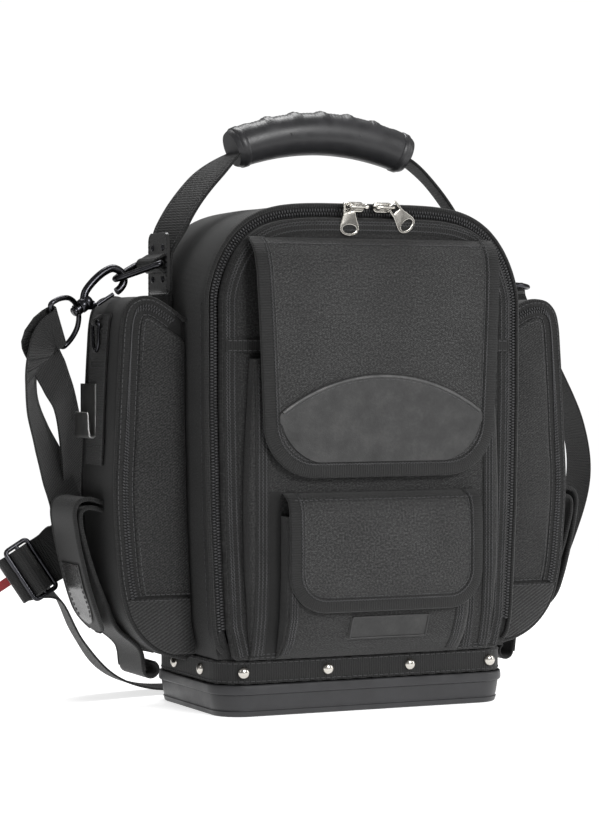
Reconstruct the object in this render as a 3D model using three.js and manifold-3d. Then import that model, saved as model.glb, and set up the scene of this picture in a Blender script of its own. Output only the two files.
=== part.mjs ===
// A tool backpack that stands on a moulded base tray: a zipped main compartment with a
// flap pocket and a small flap pocket in front, a zipped pocket with an open tool sheath
// on each side, a top handle with a moulded grip, and a shoulder strap on two snap hooks.
// Millimetres. X to the right, Y to the back, Z up, origin under the middle of the tray.
import * as THREE from "three";
import { mergeVertices } from "three/addons/utils/BufferGeometryUtils.js";
import Module from "manifold-3d";

const wasm = await Module();
wasm.setup();

// Clearances and cloth
const gap = 0.3;
const cloth = 2.4;
const tape = 1.6;

// Base tray, its strip and their rivets
const tray = { width: 246, depth: 142, height: 24, corner: 26, taper: 4, wall: 3, floor: 3.5 };
const strip = { height: 18, thick: 2, setback: 2 };
const rivet = { radius: 4.6, height: 3.2 };

// Main compartment
const body = { height: 339, swell: 8.5, springShare: 0.787, setback: 9, back: 3, round: 20 };
const panel = { depth: 8.8, inset: 10.4, round: 3 };
const zip = { width: 7.8, thick: 2.2, inset: 6.2, start: 22 };
const slider = { length: 16, width: 7.8, thick: 3, bar: 1.2, rise: 4 };
const pull = { length: 22, wide: 16, narrow: 9.6, thick: 1.6, side: 1.6 };

// Front pockets
const tapeBand = { height: 10, above: 4.2, wide: 238 };
const bigPocket = { width: 200, height: 224, depth: 12 };
const mainFlap = { width: 202, taper: 8, drop: 177, top: 0.932, corner: 38, thick: 3, rise: 5 };
const flapPatch = { width: 168, height: 65, crown: 28, margin: 9, thick: 1.4 };
const smallPocket = { width: 160, height: 108, depth: 13.5, lean: 7 };
const smallFlap = { width: 158, drop: 87, above: 16, corner: 28, thick: 2.6 };
const labelPatch = { width: 66, height: 18.5, lift: 14, thick: 1.4 };

// Side pockets, with the right one fuller than the left one
const sidePocket = { below: 69.3, setback: 34, depth: 80, round: 12, frame: 13.5, recess: 3 };
const fullness = { left: 59, right: 66 };
const sideZip = { width: 7.6, thick: 2, start: 0.2 };

// Tool sheaths on the outer faces of the side pockets
const sheath = { width: 50, height: 128, reach: 23, thick: 2.4, middle: 0.6, roll: 6 };
const sheathPatch = { width: 36, height: 46, thick: 1.4 };

// Tape clip, small ring and its webbing, on the left side pocket
const clip = { width: 32, height: 38, thick: 1.2, throat: 5, level: 0.69, middle: 0.68 };
const keeper = { width: 34, height: 44, middle: 0.5 };
const smallRing = { width: 12, height: 22, wire: 1.3, level: 0.89 };

// Handle
const webbing = { width: 38, thick: 2.4 };
const grip = { length: 150, height: 34, depth: 32, sag: 15, ridges: 5, ridge: 1.6 };
const handle = { middle: 18, rise: 59, twist: 18, sewn: 6, gathered: 20 };

// Ring holders, rings and snap hooks
const chape = { width: 40, height: 47, thick: 2, level: 0.885, rivetSpacing: 20, rivetRise: 24 };
const chapeRivet = { radius: 2.4, height: 1.2 };
const holder = { width: 36, thick: 1.8 };
const ring = { width: 49, reach: 28, fall: 12, wire: 2.5 };
const hook = { length: 50, width: 22, wire: 3, post: 2.2, collar: 1.6, gate: 2.8 };

// Shoulder strap
const strap = { width: 38, thick: 1.6 };
const strapRing = { spare: 6, depth: 24, wire: 2 };
const glide = { spare: 4.7, depth: 24, wire: 1.9, corner: 3 };
const tag = { width: 7, length: 13, thick: 0.9 };

// Planes and levels that follow from the sizes above
const halfTray = tray.width / 2;
const stripTop = tray.height + gap + strip.height;
const bodyBottom = stripTop + gap;
const crown = bodyBottom + body.height;
const spring = bodyBottom + (crown - bodyBottom) * body.springShare;
const bodyFront = -tray.depth / 2 + body.setback;
const bodyBack = tray.depth / 2 - body.back;
const zipFront = bodyFront - gap - zip.thick;
const panelFront = bodyFront - gap - panel.depth;
const bigFront = panelFront - gap - bigPocket.depth;

const vec = (x, y, z) => new THREE.Vector3(x, y, z);
const flat = (x, z) => new THREE.Vector2(x, z);
const range = (count) => [...Array(count).keys()];
const mix = THREE.MathUtils.lerp;
const degrees = THREE.MathUtils.degToRad;

// Value of one column of a table, straight between the rows of another column
function lookUp(rows, key, value, place) {
  const next = rows.findIndex((row) => row[key] >= place);
  if (next < 0) return rows.at(-1)[value];
  if (next === 0) return rows[0][value];
  const [a, b] = [rows[next - 1], rows[next]];
  return mix(a[value], b[value], (place - a[key]) / (b[key] - a[key]));
}

// A three.js geometry as a solid with its faces out
function solidOf(geometry) {
  const loose = geometry.index ? geometry.toNonIndexed() : geometry;
  const bare = new THREE.BufferGeometry().setAttribute("position", loose.getAttribute("position"));
  const merged = mergeVertices(bare, 1e-3);
  const corners = merged.index.array;
  const triVerts = [];
  for (let i = 0; i < corners.length; i += 3) {
    const [a, b, c] = corners.slice(i, i + 3);
    if (a !== b && b !== c && c !== a) triVerts.push(a, b, c);
  }
  const build = (order) => new wasm.Manifold(new wasm.Mesh({
    numProp: 3,
    vertProperties: merged.attributes.position.array,
    triVerts: new Uint32Array(order),
  }));
  const solid = build(triVerts);
  return solid.volume() > 0 ? solid : build(triVerts.reverse());
}

function meshOf(name, solid, material) {
  const { vertProperties, triVerts } = solid.getMesh();
  const geometry = new THREE.BufferGeometry();
  geometry.setAttribute("position", new THREE.BufferAttribute(new Float32Array(vertProperties), 3));
  geometry.setIndex(new THREE.BufferAttribute(triVerts, 1));
  geometry.computeVertexNormals();
  const mesh = new THREE.Mesh(geometry, material);
  mesh.name = name;
  return mesh;
}

// A closed solid through rings of equal length, its ends capped unless it runs round
function skin(rings, round = false) {
  const count = rings[0].length;
  const points = rings.flat();
  const index = [];
  const spans = round ? rings.length : rings.length - 1;
  for (const i of range(spans)) {
    const [a, b] = [i * count, ((i + 1) % rings.length) * count];
    for (const j of range(count)) {
      const k = (j + 1) % count;
      index.push(a + j, a + k, b + k, a + j, b + k, b + j);
    }
  }
  if (!round) {
    const caps = [[0, 1], [(rings.length - 1) * count, -1]];
    for (const [first, turn] of caps) {
      const ends = points.slice(first, first + count);
      const centre = points.length;
      points.push(ends.reduce((sum, p) => sum.add(p), vec(0, 0, 0)).divideScalar(count));
      for (const j of range(count)) {
        const pair = [first + ((j + 1) % count), first + j];
        index.push(centre, ...(turn > 0 ? pair : pair.reverse()));
      }
    }
  }
  const geometry = new THREE.BufferGeometry().setFromPoints(points);
  geometry.setIndex(index);
  return solidOf(geometry);
}

// A level ring with round corners
function roundedRing(halfX, halfY, corner, z, steps = 5) {
  const centres = [[1, 1], [-1, 1], [-1, -1], [1, -1]];
  return centres.flatMap(([sx, sy], quarter) => range(steps + 1).map((i) => {
    const turn = (quarter + i / steps) * Math.PI / 2;
    const [cx, cy] = [sx * (halfX - corner), sy * (halfY - corner)];
    return vec(cx + corner * Math.cos(turn), cy + corner * Math.sin(turn), z);
  }));
}

// The same outline with each side moved inwards
function shrink(outline, inset) {
  const clockwise = THREE.ShapeUtils.area(outline) < 0 ? -1 : 1;
  return outline.map((point, i) => {
    const before = outline.at(i - 1);
    const after = outline[(i + 1) % outline.length];
    const normals = [[before, point], [point, after]].map(([a, b]) =>
      flat(a.y - b.y, b.x - a.x).normalize().multiplyScalar(clockwise));
    const inward = normals[0].add(normals[1]).normalize();
    const spread = Math.max(0.6, inward.dot(normals[1]));
    return point.clone().addScaledVector(inward, inset / spread);
  });
}

// An upright outline run from front to back, with its edges rounded
function block(outline, front, back, frontRound = 0, backRound = 0) {
  const ringAt = (y, inset) => shrink(outline, inset).map((p) => vec(p.x, y, p.y));
  const steps = [0, 30, 60, 90].map(degrees);
  const frontRings = frontRound
    ? steps.map((a) => ringAt(front + frontRound * (1 - Math.sin(a)), frontRound * (1 - Math.cos(a))))
    : [ringAt(front, 0)];
  const backRings = backRound
    ? steps.map((a) => ringAt(back - backRound * (1 - Math.sin(a)), backRound * (1 - Math.cos(a))))
    : [ringAt(back, 0)];
  return skin([...frontRings.reverse(), ...backRings]);
}

// A box between two corners
function boxOf(low, high) {
  const size = high.clone().sub(low);
  const geometry = new THREE.BoxGeometry(size.x, size.y, size.z);
  geometry.translate(...low.clone().add(high).multiplyScalar(0.5).toArray());
  return solidOf(geometry);
}

// A flat band along a list of places, each with its half width as a vector
function band(places, thick, round = false) {
  const rings = places.map(({ at, across }, i) => {
    const before = places[round ? (i + places.length - 1) % places.length : Math.max(i - 1, 0)].at;
    const after = places[round ? (i + 1) % places.length : Math.min(i + 1, places.length - 1)].at;
    const along = after.clone().sub(before);
    const lift = along.cross(across).normalize().multiplyScalar(thick / 2);
    return [[-1, -1], [1, -1], [1, 1], [-1, 1]].map(([side, face]) =>
      at.clone().addScaledVector(across, side).addScaledVector(lift, face));
  });
  return skin(rings, round);
}

// Places of a band whose line is a smooth curve through points and whose half width is a function
function alongCurve(points, count, acrossAt) {
  const curve = new THREE.CatmullRomCurve3(points, false, "centripetal");
  return range(count + 1).map((i) => {
    const at = curve.getPoint(i / count);
    return { at, across: acrossAt(i / count, at) };
  });
}

// A round wire along a smooth curve
function wire(points, count, radius, round = false, sides = 8) {
  const curve = new THREE.CatmullRomCurve3(points, round, "centripetal");
  const { normals, binormals } = curve.computeFrenetFrames(count, round);
  const rings = range(round ? count : count + 1).map((i) => {
    const centre = curve.getPointAt(i / count);
    return range(sides).map((j) => {
      const turn = j / sides * 2 * Math.PI;
      return centre.clone()
        .addScaledVector(normals[i], radius * Math.cos(turn))
        .addScaledVector(binormals[i], radius * Math.sin(turn));
    });
  });
  return skin(rings, round);
}

const paint = (color, roughness, metalness = 0) =>
  new THREE.MeshStandardMaterial({ color, roughness, metalness });
const nylon = paint(0x2b2b2e, 0.9);
const twill = paint(0x333335, 0.9);
const blackTape = paint(0x19191b, 0.85);
const leather = paint(0x2f2f31, 0.65);
const plastic = paint(0x303033, 0.5);
const nickel = paint(0xc9c6bf, 0.25, 1);
const blackNickel = paint(0x26262a, 0.3, 0.9);
const redCloth = paint(0x8c1a1c, 0.8);

// Base tray: rim, groove, tapered wall and foot band, as shares of its height and taper
const trayRows = [
  { level: 0, inset: 1.3 },
  { level: 0.06, inset: 1 },
  { level: 0.2, inset: 0.85 },
  { level: 0.22, inset: 1.05 },
  { level: 0.7, inset: 0.5 },
  { level: 0.73, inset: 0.05 },
  { level: 0.95, inset: 0 },
  { level: 1, inset: 0.15 },
];

function baseTray() {
  const trayRing = (inset, z) =>
    roundedRing(halfTray - inset, tray.depth / 2 - inset, tray.corner - inset, z);
  const outer = skin(trayRows.map((row) => trayRing(row.inset * tray.taper, row.level * tray.height)));
  const hollow = skin([
    trayRing(tray.wall + tray.taper, tray.floor),
    trayRing(tray.wall, tray.height),
    trayRing(tray.wall, tray.height + 1),
  ]);
  return meshOf("base_tray", outer.subtract(hollow), plastic);
}

function baseStrip() {
  const stripRing = (inset, z) =>
    roundedRing(halfTray - inset, tray.depth / 2 - inset, tray.corner - inset, z);
  const levels = [tray.height + gap, stripTop];
  const outer = skin(levels.map((z) => stripRing(strip.setback, z)));
  const inner = skin([levels[0] - 1, levels[1] + 1].map((z) => stripRing(strip.setback + strip.thick, z)));
  return meshOf("base_strip", outer.subtract(inner), blackTape);
}

// Domed cap whose seat is at the origin and whose axis is +Z
function dome(radius, height) {
  const profile = [
    { out: 0, up: 0 }, { out: 1, up: 0 }, { out: 0.9, up: 0.5 }, { out: 0.5, up: 0.9 }, { out: 0, up: 1 },
  ];
  const points = profile.map((row) => flat(row.out * radius, row.up * height));
  return new THREE.LatheGeometry(points, 9).rotateX(Math.PI / 2);
}

const rivetRows = [
  { name: "front_1", across: -0.84, wall: "front" },
  { name: "front_2", across: -0.28, wall: "front" },
  { name: "front_3", across: 0.28, wall: "front" },
  { name: "front_4", across: 0.84, wall: "front" },
  { name: "left_1", across: -0.42, wall: "left" },
  { name: "left_2", across: 0.3, wall: "left" },
  { name: "right_1", across: -0.42, wall: "right" },
  { name: "right_2", across: 0.3, wall: "right" },
  { name: "back_1", across: -0.84, wall: "back" },
  { name: "back_2", across: -0.28, wall: "back" },
  { name: "back_3", across: 0.28, wall: "back" },
  { name: "back_4", across: 0.84, wall: "back" },
];

function stripRivets() {
  const middle = tray.height + gap + strip.height / 2;
  const reachX = halfTray - strip.setback + gap;
  const reachY = tray.depth / 2 - strip.setback + gap;
  const walls = {
    front: { turn: 0, place: (across) => vec(across * halfTray, -reachY, middle) },
    back: { turn: 180, place: (across) => vec(across * halfTray, reachY, middle) },
    left: { turn: -90, place: (across) => vec(-reachX, across * tray.depth / 2, middle) },
    right: { turn: 90, place: (across) => vec(reachX, across * tray.depth / 2, middle) },
  };
  return rivetRows.map(({ name, across, wall }) => {
    const cap = dome(rivet.radius, rivet.height).rotateX(Math.PI / 2);
    cap.rotateZ(degrees(walls[wall].turn));
    const mesh = meshOf("rivet_" + name, solidOf(cap), nickel);
    mesh.position.copy(walls[wall].place(across));
    return mesh;
  });
}

// How far the side of the main compartment stands out, as shares of its height and swell
const bodyRows = [
  { level: 0, out: -0.3 },
  { level: 0.07, out: 0.35 },
  { level: 0.32, out: 0.82 },
  { level: 0.57, out: 1 },
  { level: 1, out: 1 },
];
// Bulging corners of the top arch, as powers of its width and rise
const arch = { acrossPower: 4.85, upPower: 1.5, steps: 10 };

const bodyHalf = (z) =>
  halfTray + body.swell * lookUp(bodyRows, "level", "out", (z - bodyBottom) / (crown - bodyBottom));

function archOutline() {
  const side = bodyRows.slice(0, 4).map(({ level, out }) =>
    flat(halfTray + body.swell * out, mix(bodyBottom, crown, level)));
  const top = range(arch.steps + 1).map((i) => {
    const turn = i / arch.steps * Math.PI / 2;
    return flat(
      bodyHalf(spring) * Math.cos(turn) ** (2 / arch.acrossPower),
      mix(spring, crown, Math.sin(turn) ** (2 / arch.upPower)),
    );
  });
  const right = [...side, ...top];
  const left = right.slice(0, -1).reverse().map((p) => flat(-p.x, p.y));
  return [...right, ...left];
}

// The part of an upright outline above a level, as a cutter through the front
function above(outline, level, front, back) {
  const reach = 2 * halfTray;
  return block(outline, front, back).intersect(
    boxOf(vec(-2 * reach, front - 1, level), vec(2 * reach, back + 1, 3 * crown)));
}

// Half height and half depth of the part that stands in the tray
function footRing(inset, z) {
  const taper = tray.taper * Math.max(0, 1 - z / tray.height);
  const setback = strip.setback + strip.thick + gap + inset + taper;
  return roundedRing(halfTray - setback, tray.depth / 2 - setback, tray.corner - setback, z);
}

function bodyShell() {
  const outline = archOutline();
  const footTop = bodyBottom + 2 * cloth;
  const floor = tray.floor + gap;
  const upper = block(outline, bodyFront, bodyBack, 2, body.round);
  const foot = skin([floor, tray.height, footTop].map((z) => footRing(0, z)));
  const inside = block(
    shrink(outline, cloth), bodyFront + cloth, bodyBack - cloth, 0, body.round - cloth);
  const footInside = skin([floor + cloth, tray.height, footTop].map((z) => footRing(cloth, z)));
  const mouth = above(shrink(outline, panel.inset), bodyBottom + zip.start, bodyFront - 1, bodyFront + 9);
  const shell = upper.add(foot).subtract(inside).subtract(footInside).subtract(mouth);
  return meshOf("body_shell", shell, nylon);
}

function frontPanel() {
  const outline = shrink(archOutline(), panel.inset);
  const back = bodyFront - gap;
  const bottom = bodyBottom + 2 * cloth + gap;
  const outer = above(outline, bottom, panelFront, back);
  const rounded = block(outline, panelFront, back, panel.round, 0);
  const inner = above(shrink(outline, cloth), bottom + cloth, panelFront + cloth, back + 1);
  return meshOf("front_panel", outer.intersect(rounded).subtract(inner), nylon);
}

// Line of the main zip, from its left end over the top to its right end
function zipLine() {
  const start = bodyBottom + zip.start;
  const y = bodyFront - gap - zip.thick / 2;
  const line = shrink(archOutline(), zip.inset).filter((p) => p.y > start);
  const ends = [1, -1].map((side) => flat(side * (bodyHalf(start) - zip.inset), start));
  return [ends[0], ...line, ends[1]].map((p) => vec(p.x, y, p.y));
}

function mainZip() {
  const line = zipLine();
  const places = line.map((at, i) => {
    const along = line[Math.min(i + 1, line.length - 1)].clone().sub(line[Math.max(i - 1, 0)]);
    const across = along.cross(vec(0, 1, 0)).normalize().multiplyScalar(zip.width / 2);
    return { at, across };
  });
  return meshOf("main_zip", band(places, zip.thick), blackTape);
}

// The two sliders meet on the crown of the zip. A pull's eye goes round its slider's outer post
const sliderRows = [
  { name: "left", place: -0.047, outer: -1, swing: 0 },
  { name: "right", place: 0.049, outer: 1, swing: 40 },
];
const sliderBack = zipFront - gap;
const sliderLevel = crown - zip.inset + slider.rise;
const pullPlane = panelFront - gap - pull.thick / 2;
const barPlane = pullPlane - pull.thick / 2 - gap - slider.bar;
const postPlace = slider.length / 2 - slider.bar;

function zipSlider({ name, place }) {
  const plate = new THREE.BoxGeometry(slider.length, slider.thick, slider.width);
  plate.translate(0, -slider.thick / 2, 0);
  const rise = sliderBack - barPlane;
  const posts = [-1, 1].map((side) => {
    const post = new THREE.BoxGeometry(2 * slider.bar, rise, 2 * slider.bar);
    return solidOf(post.translate(side * postPlace, -rise / 2, 0));
  });
  const bar = new THREE.CylinderGeometry(slider.bar, slider.bar, slider.length, 8);
  bar.rotateZ(Math.PI / 2).translate(0, -rise, 0);
  const solid = posts.reduce((sum, post) => sum.add(post), solidOf(plate).add(solidOf(bar)));
  const mesh = meshOf("zip_slider_" + name, solid, nickel);
  mesh.position.set(place * tray.width, sliderBack, sliderLevel);
  return mesh;
}

// Paddle that widens to its lower end, with an eye above and a long hole below
function zipPull({ name, place, outer, swing }) {
  const eyeTop = slider.bar * Math.SQRT2 + gap;
  const eyeSide = pull.narrow / 2 - pull.side;
  const lower = -pull.length + pull.wide * 0.36;
  const outline = new THREE.Shape();
  outline.moveTo(-pull.narrow / 2 + 1, eyeTop + pull.side);
  outline.lineTo(pull.narrow / 2 - 1, eyeTop + pull.side);
  outline.lineTo(pull.narrow / 2, eyeTop + pull.side - 1);
  outline.lineTo(pull.wide / 2, lower);
  outline.absellipse(0, lower, pull.wide / 2, pull.wide * 0.36, 0, -Math.PI, true);
  outline.lineTo(-pull.narrow / 2, eyeTop + pull.side - 1);
  outline.closePath();
  const hole = new THREE.Path();
  hole.absellipse(0, lower - 0.5, pull.wide * 0.36, pull.wide * 0.2, 0, 2 * Math.PI, false);
  const eye = new THREE.Path();
  eye.moveTo(-eyeSide, -1.6 * eyeTop);
  eye.lineTo(eyeSide, -1.6 * eyeTop);
  eye.lineTo(eyeSide, eyeTop);
  eye.lineTo(-eyeSide, eyeTop);
  eye.closePath();
  outline.holes.push(hole, eye);
  const geometry = new THREE.ExtrudeGeometry(outline, {
    depth: pull.thick, bevelEnabled: false, curveSegments: 8,
  });
  geometry.translate(0, 0, -pull.thick / 2).rotateX(Math.PI / 2);
  const mesh = meshOf("zip_pull_" + name, solidOf(geometry), nickel);
  mesh.position.set(place * tray.width + outer * postPlace, pullPlane, sliderLevel);
  mesh.rotation.y = degrees(-outer * swing);
  return mesh;
}

// Forward swell of a pocket, as shares of its height and depth
const pocketRows = [
  { level: 0, out: 0.06 },
  { level: 0.05, out: 0.42 },
  { level: 0.14, out: 0.8 },
  { level: 0.28, out: 1 },
  { level: 0.85, out: 1 },
  { level: 1, out: 0.92 },
];

const bigFace = (z) => panelFront - gap
  - bigPocket.depth * lookUp(pocketRows, "level", "out", (z - stripTop) / bigPocket.height);
const smallFace = (z) => bigFace(z) - gap
  - smallPocket.depth * lookUp(pocketRows, "level", "out", (z - stripTop) / smallPocket.height);

// A patch pocket: front, gussets and bottom, open at the top and where it is sewn on
function patchPocket(halves, levels, faceAt, backAt) {
  const corner = 4;
  const ringAt = (z, inset, open) => {
    const [left, right] = halves(z);
    const [front, back] = [faceAt(z) + inset, open ? backAt(z) + 8 : backAt(z)];
    const cut = Math.min(corner, (back - front) / 2);
    return [
      vec(left + inset, back, z), vec(left + inset, front + cut, z),
      vec(left + inset + cut * 0.3, front + cut * 0.3, z), vec(left + inset + cut, front, z),
      vec(right - inset - cut, front, z), vec(right - inset - cut * 0.3, front + cut * 0.3, z),
      vec(right - inset, front + cut, z), vec(right - inset, back, z),
    ];
  };
  const outer = skin(levels.map((z) => ringAt(z, 0, false)));
  const innerLevels = levels.map((z, i) => (i === 0 ? z + cloth : z));
  innerLevels[innerLevels.length - 1] += 1;
  return outer.subtract(skin(innerLevels.map((z) => ringAt(z, cloth, true))));
}

const levelsOf = (height) => pocketRows.map((row) => stripTop + gap + row.level * (height - gap));

function bigPocketMesh() {
  const bulge = (z) => 1 + 0.05 * Math.sin(Math.PI * (z - stripTop) / bigPocket.height);
  const halves = (z) => [-1, 1].map((side) => side * bulge(z) * bigPocket.width / 2);
  const solid = patchPocket(halves, levelsOf(bigPocket.height), bigFace, () => panelFront - gap);
  return meshOf("big_pocket", solid, twill);
}

function smallPocketMesh() {
  const top = stripTop + smallPocket.height;
  const shared = levelsOf(bigPocket.height).slice(1).filter((z) => z < top - 1);
  const levels = [...levelsOf(smallPocket.height), ...shared].sort((a, b) => a - b);
  const halves = () => [-smallPocket.width / 2, smallPocket.width / 2 - smallPocket.lean];
  const solid = patchPocket(halves, levels, smallFace, (z) => bigFace(z) - gap);
  return meshOf("small_pocket", solid, twill);
}

function frontTape() {
  const low = stripTop + bigPocket.height + tapeBand.above;
  const high = low + tapeBand.height;
  const front = panelFront - gap - tape;
  return meshOf("front_tape", boxOf(
    vec(-tapeBand.wide / 2, front, low), vec(tapeBand.wide / 2, front + tape, high)), blackTape);
}

// Half width of a flap with round lower corners, at a height above its lower edge
function flapHalf(halfWidth, corner, rise) {
  if (rise >= corner) return halfWidth;
  return halfWidth - corner + Math.sqrt(corner ** 2 - (corner - rise) ** 2);
}

// Share of the fall of a flap, with more rows where its corners turn
const flapRows = [
  { fall: 0, out: 0 }, { fall: 0.03, out: 0.42 }, { fall: 0.07, out: 0.7 }, { fall: 0.14, out: 0.88 },
  { fall: 0.3, out: 0.96 }, { fall: 0.5, out: 1 }, { fall: 0.78, out: 1 }, { fall: 0.84, out: 1 },
  { fall: 0.9, out: 1 }, { fall: 0.94, out: 1 }, { fall: 0.975, out: 1 }, { fall: 0.995, out: 1 },
  { fall: 1, out: 1 },
];

const mainFlapTop = crown * mainFlap.top;
const mainFlapAt = (fall, lift = 0) => {
  const back = panelFront - gap - mainFlap.thick / 2;
  const front = bigFront - gap - mainFlap.rise - mainFlap.thick / 2;
  const z = mainFlapTop - fall * mainFlap.drop;
  return vec(0, mix(back, front, lookUp(flapRows, "fall", "out", fall)) - lift, z);
};

function mainFlapMesh() {
  const places = flapRows.map(({ fall }) => {
    const narrow = mainFlap.width / 2 - mainFlap.taper * fall;
    const half = flapHalf(narrow, mainFlap.corner, (1 - fall) * mainFlap.drop);
    return { at: mainFlapAt(fall), across: vec(half, 0, 0) };
  });
  return meshOf("main_flap", band(places, mainFlap.thick), nylon);
}

// Half-moon leather patch: round corners below, a shallow arc above
function flapPatchMesh() {
  const { margin } = flapPatch;
  const lift = (mainFlap.thick + flapPatch.thick) / 2 + gap;
  const straight = flapPatch.height - flapPatch.crown;
  const arcRadius = ((flapPatch.width / 2) ** 2 + flapPatch.crown ** 2) / (2 * flapPatch.crown);
  const rises = [0, 0.01, 0.04, 0.1, 0.2, 0.35, 0.5, 0.64, 0.76, 0.86, 0.94, 0.985, 1];
  const places = rises.map((share) => {
    const rise = share * flapPatch.height;
    const corner = Math.min(mainFlap.corner - margin, straight);
    const above = Math.max(0, rise - straight);
    const chord = Math.sqrt(Math.max(0.04, arcRadius ** 2 - (arcRadius - flapPatch.crown + above) ** 2));
    const half = Math.min(flapHalf(flapPatch.width / 2, corner, rise), above > 0 ? chord : Infinity);
    const fall = 1 - (rise + margin) / mainFlap.drop;
    return { at: mainFlapAt(fall, lift), across: vec(Math.max(half, 0.5), 0, 0) };
  });
  return meshOf("flap_patch", band(places, flapPatch.thick), leather);
}

function smallFlapMesh() {
  const top = stripTop + smallPocket.height + smallFlap.above;
  const places = flapRows.map(({ fall, out }) => {
    const z = top - fall * smallFlap.drop;
    const back = bigFace(z) - gap - smallFlap.thick / 2;
    const front = bigFront - 2 * gap - smallPocket.depth - smallFlap.thick / 2 - 1;
    const half = flapHalf(smallFlap.width / 2, smallFlap.corner, (1 - fall) * smallFlap.drop);
    return { at: vec(1, mix(back, front, out), z), across: vec(half, 0, 0) };
  });
  return meshOf("small_flap", band(places, smallFlap.thick), twill);
}

function labelPatchMesh() {
  const low = stripTop + labelPatch.lift;
  const lift = gap + labelPatch.thick / 2 + 0.4;
  const places = [0, 0.5, 1].map((share) => {
    const z = low + share * labelPatch.height;
    return { at: vec(5, smallFace(z) - lift, z), across: vec(labelPatch.width / 2, 0, 0) };
  });
  return meshOf("label_patch", band(places, labelPatch.thick), leather);
}

// Outline of a side pocket from its lower inner corner round to its upper inner corner,
// as shares of its height and of how far it stands out
const sideRows = [
  { level: 0, out: 0.14 }, { level: 0.02, out: 0.46 }, { level: 0.055, out: 0.7 },
  { level: 0.117, out: 0.86 }, { level: 0.194, out: 0.95 }, { level: 0.33, out: 0.99 },
  { level: 0.4725, out: 1 }, { level: 0.62, out: 0.96 }, { level: 0.729, out: 0.93 },
  { level: 0.85, out: 0.9 }, { level: 0.93, out: 0.87 }, { level: 0.968, out: 0.82 },
  { level: 0.992, out: 0.72 }, { level: 1, out: 0.58 }, { level: 0.998, out: 0.45 },
  { level: 0.975, out: 0.24 }, { level: 0.945, out: 0.04 },
];
const sideBottom = tray.height + gap + strip.height / 2 + rivet.radius + 1.4;
const sideHeight = crown - sidePocket.below - sideBottom;
const pocketFront = bodyFront + sidePocket.setback;
const pocketBack = pocketFront + sidePocket.depth;
const pocketMiddle = pocketFront + sidePocket.recess;

// Inner side of a side pocket: it follows the main compartment, and clears the strip below it
const innerAt = (z) => gap + Math.max(bodyHalf(z), halfTray);

function sideOuter(side, share) {
  const outerRows = sideRows.slice(0, 14);
  const z = sideBottom + share * sideHeight;
  return innerAt(z) + lookUp(outerRows, "level", "out", share) * fullness[side];
}

function sideOutline(side) {
  const sign = side === "left" ? -1 : 1;
  const outer = sideRows.map(({ level, out }) => {
    const z = sideBottom + level * sideHeight;
    return flat(sign * (innerAt(z) + out * fullness[side]), z);
  });
  const levels = bodyRows.slice(1, 4).map(({ level }) => mix(bodyBottom, crown, level)).reverse();
  const inner = [...levels, sideBottom].map((z) => flat(sign * innerAt(z), z));
  return [...outer, ...inner];
}

function sidePocketMesh(side) {
  const outline = sideOutline(side);
  const outer = block(outline, pocketMiddle, pocketBack, 2, sidePocket.round);
  const inner = block(
    shrink(outline, cloth), pocketMiddle + cloth, pocketBack - cloth, 0, sidePocket.round - cloth);
  const mouth = block(shrink(outline, sidePocket.frame), pocketMiddle - 1, pocketMiddle + cloth + 1);
  return meshOf("side_pocket_" + side, outer.subtract(inner).subtract(mouth), nylon);
}

// Front cover of a side pocket, up to the inner edge of its zip
function sideCoverMesh(side) {
  const sign = side === "left" ? -1 : 1;
  const outline = sideOutline(side);
  const shifted = outline.map((p) => flat(p.x - sign * (sidePocket.frame + sideZip.width / 2 + gap), p.y));
  const back = pocketMiddle - gap;
  const cover = block(outline, back - cloth, back, 1.2, 0);
  return meshOf("side_cover_" + side, cover.intersect(block(shifted, back - 9, back + 9)), twill);
}

function sideZipMesh(side) {
  const sign = side === "left" ? -1 : 1;
  const y = pocketMiddle - gap - sideZip.thick / 2;
  const shares = sideRows.slice(0, 13).map((row) => row.level).filter((level) => level > sideZip.start);
  const places = [sideZip.start, ...shares].map((share) => ({
    at: vec(sign * (sideOuter(side, share) - sidePocket.frame), y, sideBottom + share * sideHeight),
    across: vec(sideZip.width / 2, 0, 0),
  }));
  return meshOf("side_zip_" + side, band(places, sideZip.thick), blackTape);
}

// Lines of a sheath's flap and outer panel: distance from the pocket's face as a share
// of the sheath's reach, and fall as a share of its height
const sheathFlapRows = [
  { out: 0.03, fall: -0.01 }, { out: 0.5, fall: -0.035 }, { out: 0.84, fall: -0.02 },
  { out: 1, fall: 0.03 }, { out: 0.97, fall: 0.17 }, { out: 0.86, fall: 0.34 },
  { out: 0.72, fall: 0.52 }, { out: 0.66, fall: 0.66 }, { out: 0.66, fall: 0.76 },
];
const sheathPanelRows = [
  { out: 0.03, fall: 0.035 }, { out: 0.5, fall: 0.015 }, { out: 0.76, fall: 0.035 },
  { out: 0.82, fall: 0.1 }, { out: 0.72, fall: 0.22 }, { out: 0.52, fall: 0.4 },
  { out: 0.3, fall: 0.58 }, { out: 0.28, fall: 0.72 }, { out: 0.3, fall: 0.86 },
];
const sheathTop = sideBottom + 0.43 * sideHeight;
const sheathY = mix(pocketFront, pocketBack, sheath.middle);

// A place on a sheath: outwards from the pocket's outline at that level
function sheathPoint(side, { out, fall }, lift = 0) {
  const sign = side === "left" ? -1 : 1;
  const z = sheathTop - fall * sheath.height;
  const share = (z - sideBottom) / sideHeight;
  return vec(sign * (sideOuter(side, share) + out * sheath.reach + lift), sheathY, z);
}

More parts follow.
